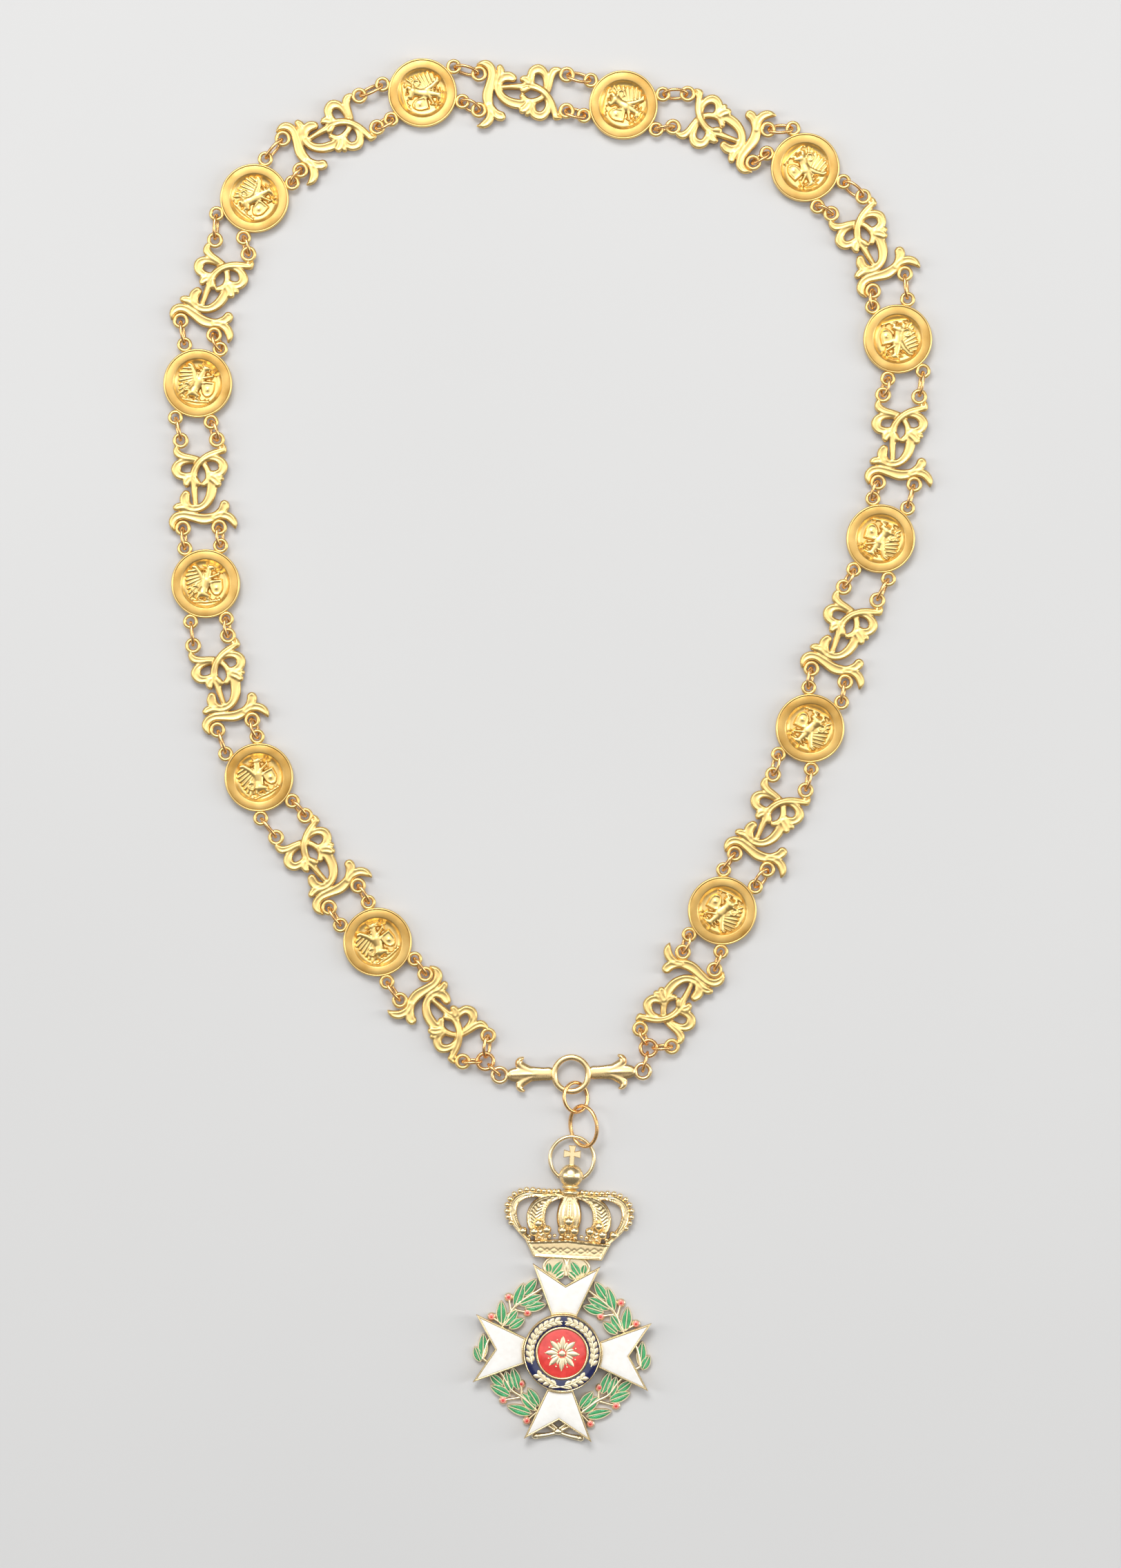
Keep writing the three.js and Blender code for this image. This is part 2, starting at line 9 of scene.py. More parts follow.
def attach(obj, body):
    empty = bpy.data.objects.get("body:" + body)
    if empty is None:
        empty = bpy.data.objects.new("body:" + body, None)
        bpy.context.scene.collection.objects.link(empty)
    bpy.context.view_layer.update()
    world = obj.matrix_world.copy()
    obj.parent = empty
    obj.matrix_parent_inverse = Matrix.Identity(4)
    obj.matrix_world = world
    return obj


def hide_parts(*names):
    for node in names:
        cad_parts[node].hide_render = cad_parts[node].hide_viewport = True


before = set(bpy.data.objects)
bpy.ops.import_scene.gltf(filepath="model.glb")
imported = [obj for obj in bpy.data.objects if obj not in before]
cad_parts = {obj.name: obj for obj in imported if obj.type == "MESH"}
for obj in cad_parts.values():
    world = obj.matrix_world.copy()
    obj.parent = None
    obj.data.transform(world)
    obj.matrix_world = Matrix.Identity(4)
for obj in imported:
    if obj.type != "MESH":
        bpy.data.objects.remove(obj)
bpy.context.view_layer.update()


# Scroll links
# Thirteen openwork castings of gilt metal: two flat bands that cross and curl into loops, a bent arm
# with lobes, and a leaf bar with a curved tip. The bands have rolled edges and a shallow hollow, and
# four wire eyelets are soldered to the corners.

MM = 0.001
TABLE_ORIGIN = (0.1, 0.28)  # where the tables' zero lies in the frame, mm

# Along the chain, clockwise from the crossbar's left end: place in mm, heading clockwise from +Y, and
# whether the looped end points onward (1) or back (-1)
SCROLL_PLACES = [
    dict(x=-34.7, y=-89.6, heading=-45.7, loops=-1),
    dict(x=-77.1, y=-37.4, heading=-37.1, loops=1),
    dict(x=-108.6, y=22.3, heading=-16.1, loops=1),
    dict(x=-116.2, y=88.7, heading=-1.5, loops=1),
    dict(x=-111.3, y=154.3, heading=23.0, loops=1),
    dict(x=-72.8, y=205.9, heading=60.8, loops=1),
    dict(x=-8.4, y=219.5, heading=90.5, loops=1),
    dict(x=57.6, y=207.5, heading=114.0, loops=-1),
    dict(x=106.9, y=168.9, heading=151.6, loops=-1),
    dict(x=117.1, y=103.5, heading=183.2, loops=-1),
    dict(x=99.0, y=38.4, heading=201.5, loops=-1),
    dict(x=74.2, y=-24.2, heading=205.8, loops=-1),
    dict(x=43.2, y=-83.4, heading=209.1, loops=1),
]

# A link's strokes: x, y, half width and lift of each one's centre line, mm, the loops toward +Y
SCROLL_STROKES = {
    "left_ear_to_middle": [
        (-7.3, 13.0, 0.5, 0.0), (-7.55, 11.6, 1.05, 0.0), (-7.0, 10.2, 1.35, 0.0), (-5.2, 9.35, 1.2, 0.0),
        (-2.4, 8.75, 1.1, -0.1), (0.1, 7.9, 1.05, -0.4), (1.9, 6.1, 1.0, -0.1), (2.9, 3.7, 1.05, 0.0),
        (2.7, 1.4, 1.05, 0.0), (1.3, -0.1, 1.0, 0.1),
    ],
    "right_ear_to_foot": [
        (8.2, 11.1, 1.0, 0.0), (6.4, 10.6, 1.1, 0.0), (4.4, 10.0, 1.15, 0.1), (2.5, 9.15, 1.15, 0.2),
        (0.6, 7.8, 1.1, 0.4), (-0.9, 6.0, 1.15, 0.3), (-1.9, 3.9, 1.25, 0.1), (-2.2, 1.8, 1.3, 0.1),
        (-1.95, 0.0, 1.15, 0.1), (-1.85, -3.2, 0.95, 0.0), (-1.7, -5.6, 0.85, 0.0), (-1.6, -6.9, 0.8, -0.1),
    ],
    "right_ear": [(8.35, 12.7, 0.5, 0.0), (8.45, 11.8, 0.75, 0.0), (8.1, 10.9, 0.95, 0.0)],
    "right_solder": [(7.2, 10.9, 0.8, -0.2), (7.0, 12.3, 0.75, -0.3)],
    "left_loop": [
        (-1.3, 7.6, 0.8, -0.5), (-4.4, 7.6, 0.95, -0.3), (-6.6, 7.1, 1.35, 0.0), (-7.8, 5.3, 1.65, 0.1),
        (-7.0, 3.3, 1.5, 0.1), (-5.0, 2.7, 1.3, 0.1), (-2.8, 3.0, 1.1, 0.0),
    ],
    "right_loop": [
        (1.5, 7.9, 0.8, -0.3), (4.2, 8.5, 1.05, 0.0), (6.5, 7.9, 1.35, 0.1), (7.9, 6.1, 1.55, 0.1),
        (7.2, 3.9, 1.45, 0.1), (5.2, 3.1, 1.3, 0.1), (3.3, 3.6, 0.9, 0.0),
    ],
    "left_curl": [(-3.4, 1.9, 1.1, 0.2), (-4.4, 0.7, 1.25, 0.3), (-4.4, -0.1, 0.95, 0.3)],
    "left_bud": [(-4.2, 2.2, 1.0, 0.1), (-5.1, 1.5, 0.75, 0.1)],
    "middle_bud": [(-1.3, 1.6, 0.9, 0.3), (-0.7, 0.5, 0.95, 0.4), (-0.55, 0.0, 0.85, 0.3)],
    "right_curl": [(4.0, 2.0, 1.3, 0.2), (5.4, 0.9, 1.35, 0.3), (6.0, -0.05, 1.2, 0.3)],
    "right_bud": [(4.6, 2.6, 1.2, 0.1), (6.4, 1.8, 1.1, 0.1), (7.2, 1.6, 0.9, 0.1)],
    "arm": [
        (3.6, 1.4, 1.3, -0.1), (4.0, -0.4, 1.6, 0.0), (3.85, -2.3, 1.7, 0.0), (3.1, -4.7, 1.6, 0.0),
        (1.4, -7.0, 1.4, 0.0), (-1.0, -8.15, 1.35, 0.0), (-3.4, -7.9, 1.4, 0.0), (-4.9, -6.4, 1.6, 0.1),
        (-5.2, -4.8, 1.7, 0.1), (-4.75, -3.4, 1.4, 0.2),
    ],
    "arm_lobe": [
        (-3.2, -8.1, 1.2, -0.1), (-5.4, -7.7, 1.35, 0.0), (-7.2, -7.4, 1.35, 0.1), (-8.2, -7.7, 1.05, 0.2),
    ],
    "arm_vein": [(-4.4, -8.2, 0.35, 0.3), (-6.5, -7.7, 0.4, 0.4), (-8.2, -8.3, 0.35, 0.3)],
    "leaf_bar": [
        (-9.1, -15.2, 0.35, 0.0), (-9.55, -13.6, 0.95, 0.0), (-9.3, -12.0, 1.35, 0.0),
        (-8.0, -10.7, 1.45, 0.0), (-5.8, -10.3, 1.4, 0.0), (-2.9, -10.9, 1.55, 0.0),
        (0.6, -11.7, 1.8, 0.0), (3.2, -11.5, 1.7, 0.0), (5.2, -10.7, 1.5, 0.0), (7.0, -9.2, 1.5, 0.1),
        (7.9, -7.9, 1.65, 0.2), (8.05, -7.2, 1.6, 0.2),
    ],
    "leaf_tip": [
        (4.5, -11.2, 1.0, 0.05), (7.0, -10.6, 1.35, 0.1), (9.2, -11.1, 1.45, 0.15),
        (10.6, -12.4, 1.35, 0.15), (11.2, -13.8, 0.9, 0.1), (11.35, -15.0, 0.3, 0.0),
    ],
}
SCROLL = dict(bottom=1.5, height=2.2)
SCROLL_CASTING = dict(low=(-11.2, -15.8), high=(12.6, 13.8), pitch=0.215, soften=1.15)
SCROLL_EYELETS = dict(across=12.1, along=29.3, middle=2.06, wire=0.66, z=2.7)

# Height of a band by the distance in from its edge, mm: a rolled edge and a shallow hollow
ROLLED_EDGE = [
    (0.0, 0.56), (0.15, 0.78), (0.3, 0.9), (0.5, 0.95), (0.75, 0.93), (1.0, 0.85), (1.3, 0.82), (1.8, 0.81),
]

# How a relief is cut from its grid, in grid steps: how far outside the outline a point still counts, how
# far one is drawn onto it and the least slope that goes by. Then a hollow's depth, which the gilt paints
# as shade: the reach it is judged over, mm, that of level metal, and what each mm sunk adds.
CASTING = dict(reach=0.45, farthest=0.8, least_slope=0.3, around=1.0, level=0.2, per_mm=1.2)


def smooth_path(rows, step=0.5):
    """Rows every step mm along the smooth curve through the given ones, their further columns with it."""
    rows = np.array(rows, float)
    ends = np.vstack([2 * rows[0] - rows[1], rows, 2 * rows[-1] - rows[-2]])
    path = []
    for before, here, after, beyond in zip(ends, ends[1:], ends[2:], ends[3:]):
        count = max(2, round(math.dist(here[:2], after[:2]) / step))
        for t in np.arange(count) / count:
            path.append(0.5 * (
                2 * here + (after - before) * t
                + (2 * before - 5 * here + 4 * after - beyond) * t**2
                + (3 * here - before - 3 * after + beyond) * t**3
            ))
    path.append(rows[-1])
    return np.array(path)


def stroke_field(x, y, rows):
    """For each point of a grid, how far outside a stroke it lies, the half width there and the lift."""
    outside = np.full(x.shape, 1e3)
    half, lift = np.zeros(x.shape), np.zeros(x.shape)
    path = smooth_path(rows)
    for (x0, y0, half0, lift0), (x1, y1, half1, lift1) in zip(path, path[1:]):
        run = (x1 - x0) ** 2 + (y1 - y0) ** 2
        t = np.clip(((x - x0) * (x1 - x0) + (y - y0) * (y1 - y0)) / run, 0, 1)
        wide = half0 + t * (half1 - half0)
        beyond = np.hypot(x - x0 - t * (x1 - x0), y - y0 - t * (y1 - y0)) - wide
        nearer = beyond < outside
        outside[nearer], half[nearer] = beyond[nearer], wide[nearer]
        lift[nearer] = (lift0 + t * (lift1 - lift0))[nearer]
    return outside, half, lift


def piled(fields):
    """Several fields of distance outside and height as one, the highest on top."""
    outside, top = fields[0][0].copy(), fields[0][1].copy()
    for beyond, height in fields[1:]:
        both = (beyond <= 0) & (outside <= 0)
        top = np.where(both, np.maximum(top, height), np.where(beyond < outside, height, top))
        outside = np.minimum(outside, beyond)
    return outside, top


def rolled_bands(x, y, strokes, bottom, height):
    """Bands with rolled edges that cross and run together."""
    steps, levels = zip(*ROLLED_EDGE)
    fields = []
    for rows in strokes:
        outside, _, lift = stroke_field(x, y, rows)
        fields.append((outside, bottom + lift + height * np.interp(-outside, steps, levels)))
    return piled(fields)


def blurred(values, reach):
    """Values of a grid softened by a bell curve, reach cells wide."""
    span = math.ceil(2.5 * reach)
    bell = np.exp(-0.5 * (np.arange(-span, span + 1) / reach) ** 2)
    bell /= bell.sum()
    for axis in (0, 1):
        values = sum(w * np.roll(values, k, axis) for w, k in zip(bell, range(-span, span + 1)))
    return values


def sampled(values, i, j):
    """A grid's values between its points."""
    low_i = np.clip(i.astype(int), 0, values.shape[0] - 2)
    low_j = np.clip(j.astype(int), 0, values.shape[1] - 2)
    s, t = i - low_i, j - low_j
    return (1 - s) * ((1 - t) * values[low_i, low_j] + t * values[low_i, low_j + 1]) + s * (
        (1 - t) * values[low_i + 1, low_j] + t * values[low_i + 1, low_j + 1]
    )


def cells_inside(outside, pitch):
    """The grid's cells inside an outline, without those that would touch another only at a corner."""
    keep = outside < CASTING["reach"] * pitch
    cells = keep[:-1, :-1] & keep[1:, :-1] & keep[1:, 1:] & keep[:-1, 1:]
    for _ in range(4):
        falling = cells[:-1, :-1] & cells[1:, 1:] & ~cells[1:, :-1] & ~cells[:-1, 1:]
        rising = cells[1:, :-1] & cells[:-1, 1:] & ~cells[:-1, :-1] & ~cells[1:, 1:]
        cells[:-1, :-1] &= ~falling
        cells[1:, :-1] &= ~rising
    return cells


def drawn_to_outline(x, y, outside, edge, pitch):
    """The grid's points, with those on the edge moved onto the outline."""
    slope_x, slope_y = np.gradient(outside, pitch)
    steep = np.maximum(np.hypot(slope_x, slope_y), CASTING["least_slope"])
    farthest = CASTING["farthest"] * pitch
    shift = np.clip(outside, -farthest, farthest) * edge / steep
    return x - shift * slope_x / steep, y - shift * slope_y / steep


def casting(field, low, high, pitch, bottom, soften):
    """A closed body in low relief from a field of distance outside the outline and height.

    The field is read over a grid from low to high with steps of pitch, mm, and softened by so many steps.
    A point's depth is painted shade: it tells how far the point lies below the relief around it, and is full
    underneath."""
    lines = [np.arange(start - 2 * pitch, stop + 2 * pitch, pitch) for start, stop in zip(low, high)]
    x, y = np.meshgrid(*lines, indexing="ij")
    outside, top = field(x, y)
    top = blurred(top, soften)
    sunk = blurred(top, CASTING["around"] / pitch) - top
    depth = np.clip(CASTING["level"] + CASTING["per_mm"] * sunk, 0, 1)
    cells = cells_inside(outside, pitch)
    around = np.zeros((4, *x.shape), bool)
    for corner, (i, j) in zip(around, ((0, 0), (1, 0), (1, 1), (0, 1))):
        corner[i : i + cells.shape[0], j : j + cells.shape[1]] = cells
    used, edge = around.any(axis=0), around.any(axis=0) & ~around.all(axis=0)
    x, y = drawn_to_outline(x, y, outside, edge, pitch)
    top = sampled(top, (x - lines[0][0]) / pitch, (y - lines[1][0]) / pitch)
    number = np.full(x.shape, -1)
    number[used] = np.arange(used.sum())
    corners = [number[:-1, :-1], number[1:, :-1], number[1:, 1:], number[:-1, 1:]]
    faces = [tuple(face) for face in np.stack([c[cells] for c in corners], axis=1).tolist()]
    sides = {(a, b) for face in faces for a, b in zip(face, face[1:] + face[:1])}
    count = int(used.sum())
    walls = [(a, a + count, b + count, b) for a, b in sides if (b, a) not in sides]
    under = [tuple(i + count for i in reversed(face)) for face in faces]
    upper = np.column_stack([x[used], y[used], top[used]])
    lower = np.column_stack([x[used], y[used], np.full(count, bottom)])
    depths = np.concatenate([depth[used], np.ones(count)])
    return np.vstack([upper, lower]), faces + sorted(walls) + under, depths


def loft(sections, depths, closed=False):
    """A shell through sections of equally many points, with the depth of each point of a section, the painted
    shade of the gilt.
    """
    sections = np.asarray(sections, float)
    count, across = sections.shape[:2]
    faces = []
    for i in range(count if closed else count - 1):
        a, b = i * across, ((i + 1) % count) * across
        faces += [(a + j, a + (j + 1) % across, b + (j + 1) % across, b + j) for j in range(across)]
    if not closed:
        faces += [tuple(range(across)), tuple((count - 1) * across + j for j in range(across))]
    return sections.reshape(-1, 3), faces, np.tile(depths, count)


def wire_ring(x, y, z, middle, wire, sides=28, wire_sides=10, flat=1.0):
    """A round wire ring that lies flat, with painted shade: its depth is highest where it faces down."""
    angles = [2 * math.pi * j / wire_sides for j in range(wire_sides)]
    sections = []
    for i in range(sides):
        turn = 2 * math.pi * i / sides
        sections.append([
            (
                x + (middle + wire * math.cos(a)) * math.cos(turn),
                y + (middle + wire * math.cos(a)) * math.sin(turn),
                z + flat * wire * math.sin(a),
            )
            for a in angles
        ])
    return loft(sections, [0.25 * (1 - math.sin(a)) for a in angles], True)


def corner_eyelets(size):
    """The four wire eyelets at a link's corners."""
    return [
        wire_ring(side * size["across"] / 2, end * size["along"] / 2, size["z"], size["middle"], size["wire"])
        for end in (-1, 1) for side in (-1, 1)
    ]


def finished(mesh, crease, flat_backs=False):
    """A mesh with its faces turned outward, smooth-shaded, and its flat backs cleared of inner edges."""
    tidy = bmesh.new()
    tidy.from_mesh(mesh)
    bmesh.ops.recalc_face_normals(tidy, faces=tidy.faces)
    if flat_backs:
        backs = [edge for edge in tidy.edges if all(face.normal.z < -0.999 for face in edge.link_faces)]
        corners = list(dict.fromkeys(vert for edge in backs for vert in edge.verts))
        bmesh.ops.dissolve_limit(tidy, angle_limit=math.radians(0.5), verts=corners, edges=backs)
    tidy.to_mesh(mesh)
    tidy.free()
    mesh.shade_smooth()
    mesh.set_sharp_from_angle(angle=math.radians(crease))
    return mesh


def mesh_of(name, shells, crease=42, move=Matrix.Identity(4)):
    """One smooth-shaded mesh of closed shells given in mm, with each point's depth kept on it, which the gilt
    paints as shade and the leaf enamel reads as its ribs' place.
    """
    points, faces, depths = [], [], []
    for shell_points, shell_faces, shell_depths in shells:
        faces += [tuple(len(points) + i for i in face) for face in shell_faces]
        points += [tuple(p) for p in shell_points]
        depths += list(shell_depths)
    mesh = bpy.data.meshes.new(name)
    mesh.from_pydata([(x * MM, y * MM, z * MM) for x, y, z in points], [], faces)
    mesh.attributes.new("depth", "FLOAT", "POINT").data.foreach_set("value", np.array(depths, np.float32))
    mesh.transform(move)
    return finished(mesh, crease, flat_backs=True)


def in_scene(name, data):
    """A new object in the scene."""
    thing = bpy.data.objects.new(name, data)
    bpy.context.scene.collection.objects.link(thing)
    return thing


def place_piece(name, mesh, material, replaces=()):
    """Puts a mesh in the scene as one piece that rides on the collar, with the given material in place of its
    own, if one is given.
    """
    piece = in_scene(name, mesh)
    if material:
        mesh.materials.clear()
        mesh.materials.append(material)
    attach(piece, "root")
    if replaces:
        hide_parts(*replaces)
    return piece


def linear(hex_colour):
    """An sRGB hex colour as linear RGBA."""
    values = [int(hex_colour[i : i + 2], 16) / 255 for i in (1, 3, 5)]
    return [v / 12.92 if v <= 0.04045 else ((v + 0.055) / 1.055) ** 2.4 for v in values] + [1.0]


def add(tree, kind, inputs=None, **settings):
    """One node with its settings, and its inputs set to values or linked to other nodes' outputs."""
    node = tree.nodes.new(kind)
    for key, value in settings.items():
        setattr(node, key, value)
    for key, value in (inputs or {}).items():
        if isinstance(value, bpy.types.NodeSocket):
            tree.links.new(value, node.inputs[key])
        else:
            node.inputs[key].default_value = value
    return node


def new_material(name):
    """An empty material and its node tree."""
    material = bpy.data.materials.new(name)
    material.use_nodes = True
    material.node_tree.nodes.clear()
    return material, material.node_tree


# What all the gilding shares: the size of the colour's slow drift, mm, a factor that makes up for the
# drift's average of a half, and how much rougher a hollow is
GILT = dict(patch=9.0, tint=1.7, hollow_roughness=0.2)


def gilt_metal(name, bright, deep, roughness, grain, grain_height):
    """Gold-plated metal: bright where it stands proud, darker by painted shade and duller in the hollows and
    on the undersides, a fine skin.

    grain and grain_height are the size and height of the skin's grain, in mm."""
    material, tree = new_material(name)
    place = add(tree, "ShaderNodeTexCoord").outputs["Object"]
    depth = add(tree, "ShaderNodeAttribute", attribute_name="depth").outputs["Fac"]
    drift = add(tree, "ShaderNodeTexNoise", {
        "Vector": place, "Scale": 1 / (GILT["patch"] * MM), "Detail": 2.0,
    })
    skin = add(tree, "ShaderNodeTexNoise", {"Vector": place, "Scale": 1 / (grain * MM), "Detail": 3.0})
    # Painted shade: a high depth turns the colour toward the deep one, varied by the slow drift, and makes it
    # rougher
    hollow = add(tree, "ShaderNodeMapRange", {
        "Value": depth, "From Min": 0.1, "From Max": 0.95, "To Min": 0.0, "To Max": 0.9,
    })
    shade_with_drift = add(tree, "ShaderNodeMath", {0: hollow.outputs[0], 1: drift.outputs["Fac"]}, operation="MULTIPLY")
    tinted = add(tree, "ShaderNodeMath", {
        0: shade_with_drift.outputs[0], 1: GILT["tint"],
    }, operation="MULTIPLY", use_clamp=True)
    base = add(tree, "ShaderNodeMix", {
        "Factor": tinted.outputs[0], 6: linear(bright), 7: linear(deep),
    }, data_type="RGBA")
    rough = add(tree, "ShaderNodeMapRange", {
        "Value": skin.outputs["Fac"], "From Min": 0.3, "From Max": 0.7,
        "To Min": roughness * 0.8, "To Max": roughness * 1.25,
    })
    rougher = add(tree, "ShaderNodeMath", {
        0: tinted.outputs[0], 1: GILT["hollow_roughness"], 2: rough.outputs[0],
    }, operation="MULTIPLY_ADD")
    bump = add(tree, "ShaderNodeBump", {
        "Height": skin.outputs["Fac"], "Distance": grain_height * MM, "Strength": 1.0,
    })
    shader = add(tree, "ShaderNodeBsdfPrincipled", {
        "Base Color": base.outputs[2], "Metallic": 1.0, "Roughness": rougher.outputs[0],
        "Normal": bump.outputs[0],
    })
    add(tree, "ShaderNodeOutputMaterial", {"Surface": shader.outputs[0]})
    return material


def new_tree(name, inputs):
    """A geometry node tree with the given named inputs, its group input and its group output."""
    tree = bpy.data.node_groups.new(name, "GeometryNodeTree")
    tree.interface.new_socket("Geometry", in_out="INPUT", socket_type="NodeSocketGeometry")
    for label, kind in inputs:
        tree.interface.new_socket(label, in_out="INPUT", socket_type=kind)
    tree.interface.new_socket("Geometry", in_out="OUTPUT", socket_type="NodeSocketGeometry")
    return tree, add(tree, "NodeGroupInput"), add(tree, "NodeGroupOutput")


def grow(name, places, tree, values):
    """The plain mesh that a tree grows on a mesh of places."""
    carrier = in_scene(name, places)
    modifier = carrier.modifiers.new(name, "NODES")
    modifier.node_group = tree
    for item in tree.interface.items_tree:
        if item.in_out == "INPUT" and item.name in values:
            modifier[item.identifier] = values[item.name]
    view = bpy.context.evaluated_depsgraph_get()
    mesh = bpy.data.meshes.new_from_object(carrier.evaluated_get(view), depsgraph=view)
    carrier.modifiers.clear()
    bpy.data.objects.remove(carrier)
    mesh.name = name
    return mesh


def places_mesh(name, places, **attributes):
    """A mesh of bare points in metres, each with its vector attributes."""
    mesh = bpy.data.meshes.new(name)
    mesh.from_pydata(places, [], [])
    for label, values in attributes.items():
        data = mesh.attributes.new(label, "FLOAT_VECTOR", "POINT").data
        data.foreach_set("vector", np.array(values, np.float32).ravel())
    return mesh


def copies_tree():
    """Sets one copy of a model on each place, turned and sized as the place says."""
    tree, given, result = new_tree("copies_on_places", [
        ("Model", "NodeSocketObject"), ("Material", "NodeSocketMaterial"),
    ])
    model = add(tree, "GeometryNodeObjectInfo", {"Object": given.outputs["Model"]})
    turn = add(tree, "GeometryNodeInputNamedAttribute", {"Name": "turn"}, data_type="FLOAT_VECTOR")
    size = add(tree, "GeometryNodeInputNamedAttribute", {"Name": "size"}, data_type="FLOAT_VECTOR")
    copies = add(tree, "GeometryNodeInstanceOnPoints", {
        "Points": given.outputs["Geometry"], "Instance": model.outputs["Geometry"],
        "Rotation": turn.outputs["Attribute"], "Scale": size.outputs["Attribute"],
    })
    solid = add(tree, "GeometryNodeRealizeInstances", {"Geometry": copies.outputs[0]})
    dressed = add(tree, "GeometryNodeSetMaterial", {
        "Geometry": solid.outputs[0], "Material": given.outputs["Material"],
    })
    tree.links.new(dressed.outputs[0], result.inputs[0])
    return tree


def copy_onto(name, model_mesh, material, places, turns, sizes=None):
    """One mesh of copies of a model at places in metres, with turns in radians."""
    model = in_scene(name + "_model", model_mesh)
    points = places_mesh(name + "_places", places, turn=turns, size=sizes or [(1, 1, 1)] * len(places))
    mesh = grow(name, points, COPIES, {"Model": model, "Material": material})
    bpy.data.objects.remove(model)
    return mesh


COPIES = copies_tree()


def in_frame(x, y):
    """A table's place in the frame, in metres."""
    return ((x + TABLE_ORIGIN[0]) * MM, (y + TABLE_ORIGIN[1]) * MM, 0.0)


def openwork_field(x, y):
    """A scroll link's crossing bands."""
    return rolled_bands(x, y, SCROLL_STROKES.values(), SCROLL["bottom"], SCROLL["height"])


# Cast metal gilt in the bath and left as it came: a soft, broad gleam over a fine grain, pale yellow on
# the bands, with painted shade that turns it browner in the corners where they cross and down its sides
scroll_gold = gilt_metal("gilt_casting", "#f5d48c", "#ab7830", 0.42, 0.3, 0.004)
scroll_casting = casting(openwork_field, bottom=SCROLL["bottom"], **SCROLL_CASTING)
scroll_model = mesh_of("scroll_link", [scroll_casting, *corner_eyelets(SCROLL_EYELETS)])
for half_name, numbers in (("left", range(7)), ("right", range(7, 13))):
    half_places = [SCROLL_PLACES[i] for i in numbers]
    half_mesh = copy_onto(
        f"scroll_castings_{half_name}",
        scroll_model,
        scroll_gold,
        [in_frame(p["x"], p["y"]) for p in half_places],
        [(0, 0, -math.radians(p["heading"] + (0 if p["loops"] == 1 else 180))) for p in half_places],
    )
    place_piece(half_mesh.name, half_mesh, None, [f"scroll_link_{i + 1:02d}" for i in numbers])


# Medallions
# Twelve round castings: a satin rim inside a thin raised edge, a dished middle with a polished slope,
# and a winged beast with a blank shield and a sword in relief. Four wire eyelets are soldered to each.

MEDALLION_PLACES = [
    dict(x=-56.9, y=-64.3, heading=-39.3),
    dict(x=-96.5, y=-9.3, heading=-28.6),
    dict(x=-114.3, y=55.4, heading=-4.5),
    dict(x=-116.9, y=122.3, heading=7.2),
    dict(x=-98.0, y=184.1, heading=41.6),
    dict(x=-41.9, y=219.3, heading=76.1),
    dict(x=25.2, y=215.3, heading=100.9),
    dict(x=85.9, y=194.4, heading=136.4),
    dict(x=116.8, y=137.1, heading=167.9),
    dict(x=111.1, y=70.4, heading=195.1),
    dict(x=87.5, y=7.1, heading=204.4),
    dict(x=58.2, y=-53.8, heading=208.0),
]
MEDALLION_EYELETS = dict(across=12.0, along=24.5, middle=1.95, wire=0.62, z=2.7)

# Radius, height and depth from the middle of the dish out over the rim and down to the back, mm; the
# depth paints shade down the outer wall and under the back, and also darkens the rim
MEDALLION_PROFILE = [
    (0.0, 2.1, 0.2), (6.3, 2.1, 0.2), (6.8, 2.16, 0.3), (7.3, 2.36, 0.2), (7.75, 2.74, 0.1),
    (8.05, 3.12, 0.1), (8.25, 3.34, 0.4), (8.5, 3.42, 0.75), (10.5, 3.42, 0.8), (10.74, 3.36, 0.8),
    (10.82, 3.42, 0.5), (10.92, 3.62, 0.1), (11.15, 3.72, 0.0), (11.36, 3.62, 0.0), (11.5, 3.3, 0.1),
    (11.5, 0.9, 0.5), (11.2, 0.35, 0.6), (10.6, 0.0, 0.6), (0.0, 0.0, 0.5),
]
DISH_FLOOR = 2.1

